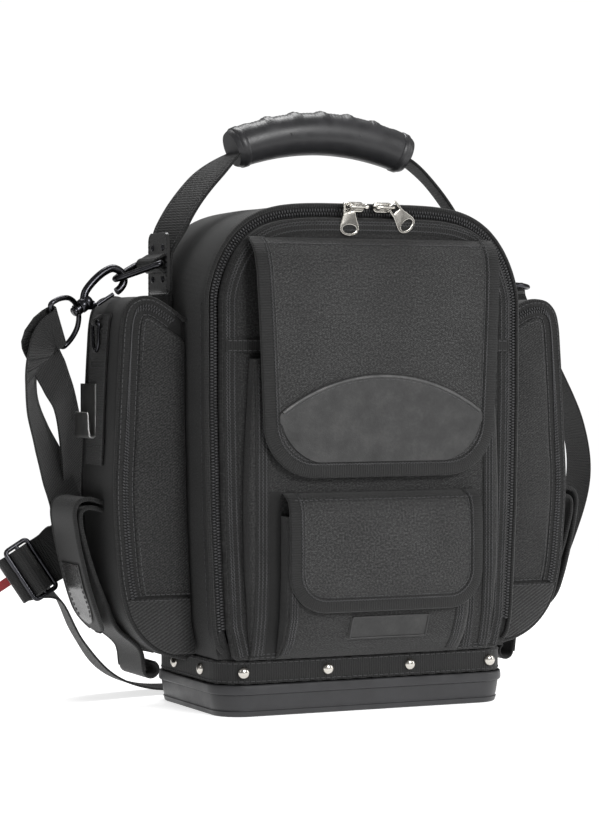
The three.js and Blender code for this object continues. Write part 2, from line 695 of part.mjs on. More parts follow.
// The panel ends in a roll that tucks under the pocket
function sheathPanelMesh(side) {
  const sign = side === "left" ? -1 : 1;
  const start = sheathPoint(side, sheathPanelRows.at(-1));
  const centre = vec(start.x - sign * 1.5 * sheath.roll, sheathY, start.z - 2.5 * sheath.roll);
  const roll = range(7).map((i) => {
    const turn = degrees(-i * 40);
    return centre.clone().add(vec(sign * sheath.roll * Math.cos(turn), 0, sheath.roll * Math.sin(turn)));
  });
  const line = [...sheathPanelRows.map((row) => sheathPoint(side, row)), ...roll];
  const places = alongCurve(line, 34, () => vec(0, sheath.width / 2, 0));
  return meshOf("sheath_panel_" + side, band(places, sheath.thick), nylon);
}

function sheathFlapMesh(side) {
  const line = sheathFlapRows.map((row) => sheathPoint(side, row));
  const last = sheathFlapRows.at(-1).fall;
  const places = alongCurve(line, 22, (t, at) => {
    const rise = at.z - (sheathTop - last * sheath.height);
    return vec(0, Math.max(4, flapHalf(sheath.width / 2, sheath.width / 2 - 2, Math.max(0, rise))), 0);
  });
  return meshOf("sheath_flap_" + side, band(places, sheath.thick), nylon);
}

function sheathPatchMesh(side) {
  const lift = (sheath.thick + sheathPatch.thick) / 2 + gap + 0.4;
  const last = sheathFlapRows.at(-1).fall - 0.05;
  const first = last - sheathPatch.height / sheath.height;
  const count = 12;
  const places = range(count + 1).map((i) => {
    const share = i / count;
    const fall = mix(first, last, share);
    const out = lookUp(sheathFlapRows.slice(3), "fall", "out", fall);
    const rise = (1 - share) * sheathPatch.height;
    const half = flapHalf(sheathPatch.width / 2, sheathPatch.width / 2 - 1, rise);
    return { at: sheathPoint(side, { out, fall }, lift), across: vec(0, Math.max(2, half), 0) };
  });
  return meshOf("sheath_patch_" + side, band(places, sheathPatch.thick), leather);
}

// Webbing column on the left pocket, with the fold that holds the small ring
const keeperY = mix(pocketFront, pocketBack, keeper.middle);
const ringLevel = sideBottom + smallRing.level * sideHeight;

const keeperX = (z) => -(sideOuter("left", (z - sideBottom) / sideHeight) + gap + tape / 2 + 0.2);
const ringTop = ringLevel + smallRing.height / 2;
const smallRingX = keeperX(ringTop - smallRing.height) - tape / 2 - 2 * gap - smallRing.wire;

function ringKeeper() {
  const shares = [0.95, 0.93, 0.85, 0.95 - keeper.height / sideHeight];
  const levels = shares.map((share) => sideBottom + share * sideHeight);
  const column = band(levels.map((z) => ({
    at: vec(keeperX(z), keeperY, z), across: vec(0, keeper.width / 2, 0),
  })), tape);
  const wrap = smallRing.wire + gap + tape / 2;
  const arc = range(7).map((i) => {
    const turn = degrees(90 - i * 30);
    return vec(smallRingX - wrap * Math.cos(turn), keeperY, ringTop + wrap * Math.sin(turn));
  });
  const ends = [5, -5].map((rise) => vec(keeperX(ringTop) - 0.2, keeperY, ringTop + rise));
  const line = [ends[0], ...arc, ends[1]];
  const fold = band(line.map((at) => ({ at, across: vec(0, smallRing.width / 4, 0) })), tape);
  return meshOf("ring_keeper", column.add(fold), blackTape);
}

// Small ring: a straight bar above, a round bow below
const smallRingRows = [
  { across: -0.8, up: 1 }, { across: 0, up: 1 }, { across: 0.8, up: 1 }, { across: 1, up: 0.84 },
  { across: 1, up: 0.1 }, { across: 0.72, up: -0.72 }, { across: 0, up: -1 },
  { across: -0.72, up: -0.72 }, { across: -1, up: 0.1 }, { across: -1, up: 0.84 },
];

function smallRingMesh() {
  const points = smallRingRows.map(({ across, up }) => vec(
    smallRingX, keeperY + across * smallRing.width / 2, ringLevel + up * smallRing.height / 2));
  return meshOf("small_ring", wire(points, 20, smallRing.wire, true, 6), blackNickel);
}

// Folded steel clip for a tape measure
function tapeClip() {
  const share = clip.level;
  const top = sideBottom + share * sideHeight + clip.height / 2;
  const y = mix(pocketFront, pocketBack, clip.middle);
  const outerX = sideOuter("left", share - 0.07) + gap + clip.thick / 2;
  const low = top - clip.height;
  const turns = range(5).map((i) => degrees(i * 45));
  const fold = turns.map((turn) => vec(
    -(outerX + clip.throat / 2 * (1 - Math.cos(turn))), y, low + clip.throat / 2 * (1 - Math.sin(turn))));
  const line = [vec(-outerX, y, top), ...fold, vec(-(outerX + clip.throat), y, low + clip.height * 0.42)];
  const places = line.map((at) => ({ at, across: vec(0, clip.width / 2, 0) }));
  return meshOf("tape_clip", band(places, clip.thick), nickel);
}

// Handle webbing, sewn to the sides just below the spring of the arch, up over the shoulder into
// the grip; out as shares of its lower half width, up as shares of the rise from there to the grip
const shoulder = spring - handle.sewn;
const gripEnd = crown + handle.rise * 0.75;
const handleRows = [
  { out: 1, up: 0 },
  { out: 1, up: 0.08 },
  { out: 1, up: 0.24 },
  { out: 0.994, up: 0.352 },
  { out: 0.95, up: 0.483 },
  { out: 0.861, up: 0.65 },
  { out: 0.709, up: 0.842 },
  { out: 0.576, up: 0.956 },
  { out: 0.453, up: 1.017 },
];

function handleLine() {
  const half = bodyHalf(spring) + gap + webbing.thick / 2;
  const left = handleRows.map(({ out, up }) =>
    vec(-out * half, handle.middle, mix(shoulder, gripEnd, up)));
  const top = vec(0, handle.middle, gripEnd + grip.sag);
  const right = left.map((p) => vec(-p.x, p.y, p.z)).reverse();
  return [...left, top, ...right];
}

// Half width of the handle webbing: flat on the sides, twisted above, gathered in the grip
function handleAcross(t) {
  const fromEnd = Math.min(t, 1 - t);
  const sign = t < 0.5 ? -1 : 1;
  const turn = degrees(handle.twist) * THREE.MathUtils.smoothstep(fromEnd, 0.145, 0.234);
  const gathered = THREE.MathUtils.smoothstep(fromEnd, 0.32, 0.444);
  const half = mix(webbing.width, handle.gathered, gathered) / 2;
  return vec(sign * Math.sin(turn) * (1 - gathered), Math.cos(turn), 0).normalize().multiplyScalar(half);
}

function handleWebbing(thick = webbing.thick, spread = 0) {
  const places = alongCurve(handleLine(), 44, (t) => {
    const across = handleAcross(t);
    return across.setLength(across.length() + spread);
  });
  return band(places, thick);
}

// Moulded grip: an arched bar with round ends and raised ridges on top
function gripMesh() {
  const count = 28;
  const rings = range(count + 1).map((i) => {
    const t = i / count * 2 - 1;
    const x = t * grip.length / 2;
    const end = Math.max(0, Math.abs(t) - 0.93) / 0.07;
    const ridge = Math.abs(t) < 0.72 ? grip.ridge * Math.max(0, Math.cos(t * Math.PI * (grip.ridges + 2))) : 0;
    const size = 1 - 0.1 * t * t - 0.12 * end * end;
    const tilt = Math.atan(2 * grip.sag * 2 * t / grip.length);
    const centre = vec(x, handle.middle, gripEnd + grip.sag * (1 - t * t));
    return range(12).map((j) => {
      const turn = j / 12 * 2 * Math.PI;
      const [across, up] = [Math.cos(turn), Math.sin(turn)];
      const rise = up * grip.height / 2 * size + Math.max(0, up) ** 2 * ridge;
      return centre.clone().add(vec(
        Math.sin(tilt) * rise, across * grip.depth / 2 * size, Math.cos(tilt) * rise));
    });
  });
  const slot = handleWebbing(webbing.thick + 2 * gap, gap);
  return meshOf("grip", skin(rings).subtract(slot), plastic);
}

const chapeMiddle = crown * chape.level;

// Riveted plate over the end of the handle webbing
function chapePlate(side) {
  const sign = side === "left" ? -1 : 1;
  const half = bodyHalf(spring) + 2 * gap + webbing.thick + chape.thick / 2;
  const plate = band([-1, 1].map((share) => ({
    at: vec(sign * half, handle.middle, chapeMiddle + share * chape.height / 2),
    across: vec(0, chape.width / 2, 0),
  })), chape.thick);
  const rivets = [[-1, -1], [1, -1], [-1, 1], [1, 1]].map(([across, up]) => {
    const cap = dome(chapeRivet.radius, chapeRivet.height + 0.5).rotateY(sign * Math.PI / 2);
    cap.translate(
      sign * (half + chape.thick / 2 - 0.5),
      handle.middle + across * chape.rivetSpacing / 2,
      chapeMiddle + up * chape.rivetRise / 2,
    );
    return solidOf(cap);
  });
  return meshOf("chape_plate_" + side, rivets.reduce((sum, cap) => sum.add(cap), plate), leather);
}

// Frame of a side ring: its base bar runs front to back, its apex points out and down
const holderGap = holder.thick + gap + ring.wire;
function ringBase(side) {
  const sign = side === "left" ? -1 : 1;
  const plateFace = bodyHalf(spring) + 2 * gap + webbing.thick + chape.thick;
  return vec(sign * (plateFace + 2 * gap + holderGap + 0.8), handle.middle, chapeMiddle);
}

function ringHolder(side) {
  const sign = side === "left" ? -1 : 1;
  const base = ringBase(side);
  const wrap = ring.wire + gap + holder.thick / 2;
  const inner = holderGap + 0.2;
  const arc = range(7).map((i) => {
    const turn = degrees(90 - i * 30);
    return vec(base.x + sign * wrap * Math.cos(turn), base.y, base.z + wrap * Math.sin(turn));
  });
  const line = [vec(base.x - sign * inner, base.y, base.z + 6.5), ...arc, vec(base.x - sign * inner, base.y, base.z - 6.5)];
  const places = line.map((at) => ({ at, across: vec(0, holder.width / 2, 0) }));
  return meshOf("ring_holder_" + side, band(places, holder.thick), blackTape);
}

// A place on a side ring: a share of the way out, a share of its half width across
function onRing(side, share, across) {
  const sign = side === "left" ? -1 : 1;
  const out = vec(sign * ring.reach, 0, -ring.fall).multiplyScalar(share);
  return ringBase(side).add(out).add(vec(0, across * ring.width / 2, 0));
}

const ringRows = [
  { out: 0, across: -0.86 }, { out: 0, across: -0.4 }, { out: 0, across: 0 }, { out: 0, across: 0.4 },
  { out: 0, across: 0.86 }, { out: 0.08, across: 0.98 }, { out: 0.3, across: 0.82 },
  { out: 0.62, across: 0.52 }, { out: 0.9, across: 0.2 }, { out: 1, across: 0 },
  { out: 0.9, across: -0.2 }, { out: 0.62, across: -0.52 }, { out: 0.3, across: -0.82 },
  { out: 0.08, across: -0.98 },
];

function sideRing(side) {
  const points = ringRows.map(({ out, across }) => onRing(side, out, across));
  return meshOf("side_ring_" + side, wire(points, 30, ring.wire, true, 7), blackNickel);
}

// A local frame: along, across and out, from two directions
function frameOf(along, near) {
  const a = along.clone().normalize();
  const c = a.clone().cross(near).normalize();
  const b = c.clone().cross(a);
  return { a, b, c };
}
const place = (origin, frame, s, w, n = 0) => origin.clone()
  .addScaledVector(frame.a, s).addScaledVector(frame.b, w).addScaledVector(frame.c, n);

// Hook bow, as shares of the hook's length and width, from the base round the crook to its nose
const bowRows = [
  { along: 0.8, out: 0.12 }, { along: 0.7, out: 0.3 }, { along: 0.5, out: 0.42 }, { along: 0.25, out: 0.44 },
  { along: 0.1, out: 0.34 }, { along: 0.03, out: 0.05 }, { along: 0.08, out: -0.25 }, { along: 0.2, out: -0.36 },
  { along: 0.27, out: -0.36 },
];
const hookEnds = { barrel: 0.72, barrelEnd: 0.92, collar: 1.01, collarEnd: 1.05 };
const gateRows = { nose: 0.34, pivot: 0.66, out: -0.36, base: -0.3 };
const hookDirection = { left: vec(-0.79, -0.1, -0.57), right: vec(0.58, 0.8, -0.1) };
const hookUp = { left: vec(-0.6, 0, 0.8), right: vec(-0.1, 0, 1) };
const hookSeat = { left: { out: 1, across: 0 }, right: { out: 0.62, across: 0.52 } };

function hookFrame(side) {
  const frame = frameOf(hookDirection[side], hookUp[side]);
  const seat = onRing(side, hookSeat[side].out, hookSeat[side].across);
  const origin = place(seat, frame, -(ring.wire + gap + hook.wire + 0.03 * hook.length + 1), 0);
  return { frame, origin };
}

const gatePoint = (side, key) => {
  const { frame, origin } = hookFrame(side);
  const out = key === "nose" ? gateRows.out : gateRows.base;
  return place(origin, frame, gateRows[key] * hook.length, out * hook.width);
};

function gateSolid(side, stretch = 0) {
  const { frame } = hookFrame(side);
  const [nose, pivot] = [gatePoint(side, "nose"), gatePoint(side, "pivot")];
  const reach = pivot.clone().sub(nose).multiplyScalar(stretch);
  const places = [nose.sub(reach), pivot.add(reach)].map((at) => ({
    at, across: frame.c.clone().multiplyScalar(0.6 * hook.wire),
  }));
  return band(places, hook.gate);
}

// Bow, barrel and swivel post of a snap hook
function hookMesh(side) {
  const { frame, origin } = hookFrame(side);
  const points = bowRows.map(({ along, out }) => place(origin, frame, along * hook.length, out * hook.width));
  const bow = wire(points, 24, hook.wire, false, 7);
  const turned = (geometry, along) => {
    const basis = new THREE.Matrix4().makeBasis(frame.b, frame.a, frame.c.clone().negate());
    const centre = place(origin, frame, along * hook.length, 0);
    return solidOf(geometry.applyMatrix4(basis).translate(centre.x, centre.y, centre.z));
  };
  const cylinder = (radius, from, to) => turned(
    new THREE.CylinderGeometry(radius, radius, (to - from) * hook.length, 10), (from + to) / 2);
  const barrel = cylinder(0.24 * hook.width, hookEnds.barrel, hookEnds.barrelEnd);
  const ear = band([hookEnds.barrel - 0.04, hookEnds.barrel + 0.04, hookEnds.barrelEnd - 0.06].map((along) => ({
    at: place(origin, frame, along * hook.length, along < 0.8 ? -0.2 * hook.width : 0),
    across: frame.c.clone().multiplyScalar(0.12 * hook.width),
  })), 5);
  const post = cylinder(hook.post, hookEnds.barrel, hookEnds.collarEnd);
  const collar = cylinder(hook.post + hook.collar, hookEnds.collar, hookEnds.collarEnd);
  const solid = bow.add(barrel).add(ear).add(post).add(collar);
  return side === "left" ? solid : solid.add(gateSolid(side, 0.3));
}

// Ring that takes the shoulder strap: its boss turns on the hook's swivel post
const barDirection = { left: vec(0.26, 0.56, -0.79), right: vec(-0.81, 0.58, 0) };

function strapRingFrame(side) {
  const { frame, origin } = hookFrame(side);
  const post = place(origin, frame, (hookEnds.barrelEnd + hookEnds.collar) / 2 * hook.length, 0);
  const swung = frameOf(frame.a, barDirection[side]);
  return { post, along: swung.a, bar: swung.b, normal: swung.c };
}

function strapBar(side) {
  const { post, along } = strapRingFrame(side);
  return post.clone().addScaledVector(along, strapRing.depth - strapRing.wire);
}

const strapRingRows = [
  { out: 0, across: 0 }, { out: 0.02, across: 0.3 }, { out: 0.22, across: 0.7 }, { out: 0.6, across: 0.95 },
  { out: 0.95, across: 1 }, { out: 1, across: 0.92 }, { out: 1, across: 0.45 }, { out: 1, across: 0 },
  { out: 1, across: -0.45 }, { out: 1, across: -0.92 }, { out: 0.95, across: -1 },
  { out: 0.6, across: -0.95 }, { out: 0.22, across: -0.7 }, { out: 0.02, across: -0.3 },
];

function strapRingMesh(side) {
  const { post, along, bar, normal } = strapRingFrame(side);
  const points = strapRingRows.map(({ out, across }) => post.clone()
    .addScaledVector(along, out * (strapRing.depth - strapRing.wire))
    .addScaledVector(bar, across * (strap.width / 2 + strapRing.spare - strapRing.wire)));
  const basis = new THREE.Matrix4().makeBasis(bar, along, normal.clone().negate());
  const onPost = (radius, length) => {
    const geometry = new THREE.CylinderGeometry(radius, radius, length, 12).applyMatrix4(basis);
    return solidOf(geometry.translate(post.x, post.y, post.z));
  };
  const bossLength = (hookEnds.collar - hookEnds.barrelEnd) * hook.length - 2 * gap;
  const ringWire = wire(points, 34, strapRing.wire, true, 6);
  const solid = ringWire.add(onPost(hook.post + 2.4, bossLength)).subtract(onPost(hook.post + gap, 12));
  return meshOf("strap_ring_" + side, solid, blackNickel);
}

// Route of the strap, as shares of the half width over the left pocket, of the tray's half
// depth and of the height of the crown, with the way its width points
const outerHalf = halfTray + fullness.left;
const routePoint = ({ x, y, z }) => vec(x * outerHalf, y * tray.depth / 2, z * crown);
const outerStrandRows = [
  { x: -1.28, y: 0.155, z: 0.708, ax: 0.42, ay: 0.7, az: -0.5 },
  { x: -1.299, y: 0.268, z: 0.66, ax: 0.42, ay: 0.85, az: -0.2 },
  { x: -1.28, y: 0.423, z: 0.608, ax: 0.5, ay: 0.86, az: 0 },
  { x: -1.22, y: 0.592, z: 0.542, ax: 0.6, ay: 0.78, az: 0 },
  { x: -1.143, y: 0.761, z: 0.477, ax: 0.75, ay: 0.65, az: 0 },
  { x: -1.077, y: 0.887, z: 0.414, ax: 0.8, ay: 0.55, az: 0 },
  { x: -1.044, y: 0.944, z: 0.356, ax: 0.8, ay: 0.3, az: -0.4 },
];
const innerStrandRows = [
  { x: -1.231, y: 0.38, z: 0.702, ax: 0.75, ay: 0.6, az: 0.3 },
  { x: -1.17, y: 0.507, z: 0.66, ax: 0.75, ay: 0.6, az: 0.3 },
  { x: -1.115, y: 0.62, z: 0.618, ax: 0.7, ay: 0.7, az: 0.1 },
  { x: -1.06, y: 0.789, z: 0.545, ax: 0.7, ay: 0.7, az: 0 },
  { x: -0.995, y: 1.07, z: 0.451, ax: 0.75, ay: 0.6, az: 0 },
  { x: -0.978, y: 1.211, z: 0.372, ax: 0.8, ay: 0.5, az: -0.1 },
  { x: -1.011, y: 1.155, z: 0.33, ax: 0.8, ay: 0.2, az: -0.5 },
];
const longStrandRows = [
  { x: -1.077, y: 1.239, z: 0.22, ax: 0.1, ay: 0.95, az: 0.2 },
  { x: -0.956, y: 1.31, z: 0.126, ax: 0.1, ay: 0.97, az: 0.1 },
  { x: -0.824, y: 1.352, z: 0.052, ax: 0, ay: 1, az: 0.05 },
  { x: -0.648, y: 1.408, z: 0.016, ax: 0, ay: 1, az: 0 },
  { x: -0.33, y: 1.465, z: 0.008, ax: 0, ay: 1, az: 0 },
  { x: 0, y: 1.493, z: 0.008, ax: 0, ay: 1, az: 0 },
  { x: 0.385, y: 1.493, z: 0.008, ax: 0, ay: 1, az: 0 },
  { x: 0.714, y: 1.465, z: 0.013, ax: 0, ay: 1, az: 0 },
  { x: 1.016, y: 1.38, z: 0.052, ax: -0.1, ay: 1, az: 0 },
  { x: 1.253, y: 1.211, z: 0.162, ax: -0.1, ay: 1, az: 0.1 },
  { x: 1.385, y: 1.014, z: 0.314, ax: -0.05, ay: 1, az: 0.05 },
  { x: 1.44, y: 0.901, z: 0.44, ax: 0, ay: 1, az: 0 },
  { x: 1.412, y: 0.93, z: 0.55, ax: 0, ay: 1, az: 0 },
  { x: 1.319, y: 1.127, z: 0.668, ax: -0.2, ay: 0.97, az: 0 },
  { x: 1.22, y: 1.324, z: 0.76, ax: -0.5, ay: 0.8, az: 0 },
  { x: 1.148, y: 1.366, z: 0.82, ax: -0.8, ay: 0.58, az: 0 },
];

// Fold of the strap round a strap ring's bar: turn about the bar, and way beyond it
const foldRows = [
  { turn: -100, beyond: 0.27 }, { turn: -115, beyond: 0 }, { turn: -58, beyond: 0 }, { turn: 0, beyond: 0 },
  { turn: 58, beyond: 0 }, { turn: 115, beyond: 0 }, { turn: 100, beyond: 0.27 },
];

const glideCentre = () => routePoint({ x: -1.218, y: 0.93, z: 0.273 });
const glideFrame = frameOf(vec(0.86, 0.05, 0.5), vec(-0.5, 0.23, 0.83));

// Threading of the strap at the slide: along the strap, and out from the slide's plane
const sewnEndRows = [
  { along: 1.2, out: 3.2 }, { along: -2.3, out: 2.4 }, { along: -3.3, out: 0 }, { along: -2.3, out: -2.4 },
  { along: 0.5, out: -3.5 }, { along: 6, out: -4.9 }, { along: 12, out: -6 }, { along: 22, out: -6 },
];
const threadedRows = [
  { along: 24, out: -2.6 }, { along: 13, out: -3.5 }, { along: 8.6, out: -2.6 }, { along: 6.3, out: 0.6 },
  { along: 4, out: 4.2 }, { along: 0, out: 5.9 }, { along: -4, out: 4.2 }, { along: -6.3, out: 0.6 },
  { along: -8.6, out: -2.6 }, { along: -13, out: -4.4 }, { along: -16, out: -7 }, { along: -15.5, out: -11 },
  { along: -10, out: -14 },
];

function strapPlaces() {
  const across = glideFrame.b.clone();
  const atGlide = ({ along, out }) => ({ at: place(glideCentre(), glideFrame, along, 0, out), across });
  const onRoute = (row) => ({ at: routePoint(row), across: vec(row.ax, row.ay, row.az) });
  const wrap = strapRing.wire + 2 * gap + strap.thick / 2;
  const aroundBar = (side, face) => {
    const { along, bar, normal } = strapRingFrame(side);
    return foldRows.map(({ turn, beyond }) => ({
      at: strapBar(side)
        .addScaledVector(along, beyond * strap.width - wrap * Math.cos(degrees(turn)))
        .addScaledVector(normal, face * wrap * Math.sin(degrees(turn))),
      across: bar.clone(),
    }));
  };
  return [
    ...sewnEndRows.map(atGlide),
    ...innerStrandRows.toReversed().map(onRoute),
    ...aroundBar("left", 1),
    ...outerStrandRows.map(onRoute),
    ...threadedRows.map(atGlide),
    ...longStrandRows.map(onRoute),
    ...aroundBar("right", -1),
  ];
}

// The strap's places, smoothed and set to its half width
function strapMesh() {
  const rows = strapPlaces();
  for (const i of range(rows.length - 1)) {
    if (rows[i + 1].across.dot(rows[i].across) < 0) rows[i + 1].across = rows[i + 1].across.clone().negate();
  }
  const line = new THREE.CatmullRomCurve3(rows.map((row) => row.at), false, "centripetal");
  const turn = new THREE.CatmullRomCurve3(rows.map((row) => row.across.clone().normalize()));
  const count = 3 * (rows.length - 1);
  const places = range(count + 1).map((i) => {
    const along = line.getTangent(i / count);
    const across = turn.getPoint(i / count);
    across.addScaledVector(along, -across.dot(along)).setLength(strap.width / 2);
    return { at: line.getPoint(i / count), across };
  });
  return meshOf("shoulder_strap", band(places, strap.thick), blackTape);
}

// Rounded frame with a middle bar
function glideMesh() {
  const at = (along, across) => place(glideCentre(), glideFrame, along, across);
  const [a, b] = [glide.depth / 2 - glide.wire, strap.width / 2 + glide.spare - glide.wire];
  const loop = roundedRing(a, b, glide.corner, 0, 3).map((p) => at(p.x, p.y));
  const frame = wire(loop, 36, glide.wire, true, 6);
  const bar = wire([at(0, -b), at(0, 0), at(0, b)], 2, glide.wire, false, 6);
  return meshOf("strap_slide", frame.add(bar), blackNickel);
}

function redTag() {
  const fold = Math.min(...threadedRows.map((row) => row.along)) - strap.thick / 2 - 2 * gap;
  const origin = place(glideCentre(), glideFrame, fold, 2, -9);
  const places = [0, 1].map((share) => ({
    at: place(origin, glideFrame, -share * tag.length, 0),
    across: glideFrame.b.clone().multiplyScalar(tag.width / 2),
  }));
  return meshOf("strap_tag", band(places, tag.thick), redCloth);
}

const group = new THREE.Group();
group.add(baseTray(), baseStrip(), ...stripRivets());
group.add(bodyShell(), frontPanel(), mainZip());
group.add(...sliderRows.map(zipSlider), ...sliderRows.map(zipPull));
group.add(frontTape(), bigPocketMesh(), mainFlapMesh(), flapPatchMesh());
group.add(smallPocketMesh(), smallFlapMesh(), labelPatchMesh());
for (const side of ["left", "right"]) {
  group.add(sidePocketMesh(side), sideCoverMesh(side), sideZipMesh(side));
  group.add(sheathPanelMesh(side), sheathFlapMesh(side), sheathPatchMesh(side));
  group.add(chapePlate(side), ringHolder(side), sideRing(side));
  group.add(meshOf("snap_hook_" + side, hookMesh(side), blackNickel), strapRingMesh(side));
}
group.add(meshOf("hook_gate_left", gateSolid("left"), blackNickel));
group.add(ringKeeper(), smallRingMesh(), tapeClip());
group.add(meshOf("handle_webbing", handleWebbing(), blackTape), gripMesh());
group.add(strapMesh(), glideMesh(), redTag());

export default group;
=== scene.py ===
import math
import bpy
import bmesh
import numpy as np
from mathutils import Matrix, Vector, noise


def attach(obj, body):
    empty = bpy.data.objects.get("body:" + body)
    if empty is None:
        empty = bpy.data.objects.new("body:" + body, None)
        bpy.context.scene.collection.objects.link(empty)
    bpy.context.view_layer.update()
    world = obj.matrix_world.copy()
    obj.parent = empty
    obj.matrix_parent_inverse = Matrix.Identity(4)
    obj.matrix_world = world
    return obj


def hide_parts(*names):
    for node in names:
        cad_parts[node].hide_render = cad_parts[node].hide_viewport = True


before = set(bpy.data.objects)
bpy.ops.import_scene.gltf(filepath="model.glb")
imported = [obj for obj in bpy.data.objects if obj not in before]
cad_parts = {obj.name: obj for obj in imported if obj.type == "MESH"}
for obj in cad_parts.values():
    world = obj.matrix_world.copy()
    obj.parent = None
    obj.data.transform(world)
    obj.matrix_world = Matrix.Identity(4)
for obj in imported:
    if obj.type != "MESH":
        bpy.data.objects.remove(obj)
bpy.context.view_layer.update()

mm = 0.001
bag = "backpack"

# Tools for shapes. Lengths are millimetres, X right, Y back, Z up


def mix(a, b, t):
    return a + (b - a) * t


def lookUp(rows, place):
    return float(np.interp(place, [r[0] for r in rows], [r[1] for r in rows]))


def unit(v):
    v = np.asarray(v, float)
    return v / max(float(np.linalg.norm(v)), 1e-9)


# Smooth line through points, even steps; further columns ride along
def spline(points, count, closed=False, fine=10):
    pts = np.asarray(points, float)
    pts = np.vstack([pts[-1:], pts, pts[:2]]) if closed else np.vstack([2 * pts[0] - pts[1], pts,
                                                                        2 * pts[-1] - pts[-2]])
    out = []
    for i in range(1, len(pts) - 2):
        p = pts[i - 1:i + 3]
        k = [0.0]
        for a, b in zip(p[:-1], p[1:]):
            k.append(k[-1] + max(float(np.linalg.norm((b - a)[:3])), 1e-4) ** 0.5)
        for t in np.linspace(k[1], k[2], fine, endpoint=False):
            a = [(k[j + 1] - t) / (k[j + 1] - k[j]) * p[j] + (t - k[j]) / (k[j + 1] - k[j]) * p[j + 1]
                 for j in range(3)]
            b = [(k[j + 2] - t) / (k[j + 2] - k[j]) * a[j] + (t - k[j]) / (k[j + 2] - k[j]) * a[j + 1]
                 for j in range(2)]
            out.append((k[2] - t) / (k[2] - k[1]) * b[0] + (t - k[1]) / (k[2] - k[1]) * b[1])
    out.append(pts[1] if closed else pts[-2])
    return evenly(out, count, closed)


def evenly(points, count, closed=False):
    pts = np.asarray(points, float)
    run = np.concatenate([[0], np.cumsum(np.linalg.norm(np.diff(pts[:, :3], axis=0), axis=1))])
    at = np.linspace(0, run[-1], count, endpoint=not closed)
    return np.column_stack([np.interp(at, run, pts[:, c]) for c in range(pts.shape[1])])


def lineLength(points):
    return float(np.linalg.norm(np.diff(np.asarray(points)[:, :3], axis=0), axis=1).sum())


def sidesOf(line, closed=False):  # in-plane inward directions of a flat line that runs anticlockwise
    nxt, prv = np.roll(line, -1, 0), np.roll(line, 1, 0)
    if not closed:
        nxt[-1], prv[0] = line[-1], line[0]
    d = nxt - prv
    n = np.column_stack([-d[:, 1], d[:, 0]])
    return n / np.maximum(np.linalg.norm(n, axis=1), 1e-9)[:, None]


def shrink(line, inset, closed=True):
    return line + sidesOf(line, closed) * np.asarray(inset).reshape(-1, 1)


# Like shrink, with the crossed places at tight corners drawn together
def insetLine(line, inset, closed=True):
    if inset < 0.3:
        return shrink(line, inset, closed)
    moved, a = shrink(line, inset, closed), line if closed else line[:-1]
    b = np.roll(line, -1, 0) if closed else line[1:]
    d = b - a
    t = np.clip(((moved[:, None] - a) * d).sum(2) / np.maximum((d * d).sum(1), 1e-9), 0, 1)
    gap = np.linalg.norm(moved[:, None] - (a + t[..., None] * d), axis=2).min(1)
    good = gap > abs(inset) * 0.97
    if good.all() or good.sum() < 4:
        return moved
    index = np.arange(len(line))
    return np.column_stack([np.interp(index, index[good], moved[good, c], period=len(line) if closed
                                      else None) for c in (0, 1)])


# Faces and their cloth coordinates through rings of equal length
def loft(rings, wrap=True, capStart=False, capEnd=False):
    rings = np.asarray(rings, float)
    rows, cols = rings.shape[:2]
    across = np.linalg.norm(np.diff(np.concatenate([rings, rings[:, :1]], 1), axis=1), axis=2)
    u = np.concatenate([[0], np.cumsum(across[rows // 2])])
    v = np.concatenate([[0], np.cumsum(np.linalg.norm(np.diff(rings, axis=0), axis=2).max(axis=1))])
    faces, uvs = [], []
    for i in range(rows - 1):
        for j in range(cols if wrap else cols - 1):
            k = (j + 1) % cols
            faces.append((i * cols + j, i * cols + k, (i + 1) * cols + k, (i + 1) * cols + j))
            uvs.append([(u[j], v[i]), (u[j + 1], v[i]), (u[j + 1], v[i + 1]), (u[j], v[i + 1])])
    points = rings.reshape(-1, 3)
    for wanted, first in ((capStart, 0), (capEnd, (rows - 1) * cols)):
        if not wanted:
            continue
        end = points[first:first + cols]
        spread = end.max(0) - end.min(0)
        keep = [c for c in range(3) if c != int(np.argmin(spread))]
        centre = len(points)
        points = np.vstack([points, end.mean(0)])
        for j in range(cols):
            tri = (first + j, first + (j + 1) % cols, centre)
            faces.append(tri)
            uvs.append([tuple(points[t][keep]) for t in tri])
    return points, faces, uvs


def capped(rings):
    return loft(rings, capStart=True, capEnd=True)


def joined(*parts):
    points, faces, uvs = [], [], []
    for p, f, t in parts:
        base = sum(len(q) for q in points)
        points.append(p)
        faces += [tuple(i + base for i in face) for face in f]
        uvs += t
    return np.vstack(points), faces, uvs


def piece(name, part, look, nodes=(), body=bag, sharp=38, soft=0, softSize=26):
    points, faces, uvs = part
    mesh = bpy.data.meshes.new(name)
    mesh.from_pydata([tuple(p * mm) for p in points], [], faces)
    layer = mesh.uv_layers.new(name="cloth")
    layer.data.foreach_set("uv", np.array([c for face in uvs for c in face], float).ravel())
    work = bmesh.new()
    work.from_mesh(mesh)
    bmesh.ops.remove_doubles(work, verts=work.verts, dist=0.00002)
    bmesh.ops.recalc_face_normals(work, faces=work.faces)
    if soft:
        work.normal_update()
        for v in work.verts:
            sag = 0.5 + 0.5 * noise.noise(v.co / (softSize * mm))
            v.co -= v.normal * sag * soft * mm
    work.to_mesh(mesh)
    work.free()
    mesh.shade_smooth()
    mesh.set_sharp_from_angle(angle=math.radians(sharp))
    obj = bpy.data.objects.new(name, mesh)
    bpy.context.collection.objects.link(obj)
    obj.data.materials.append(finish[look])
    return settle(obj, slotOf[look], nodes, body)


def settle(obj, slot, nodes=(), body=bag):
    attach(obj, body)
    if nodes:
        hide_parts(*nodes)
    return obj


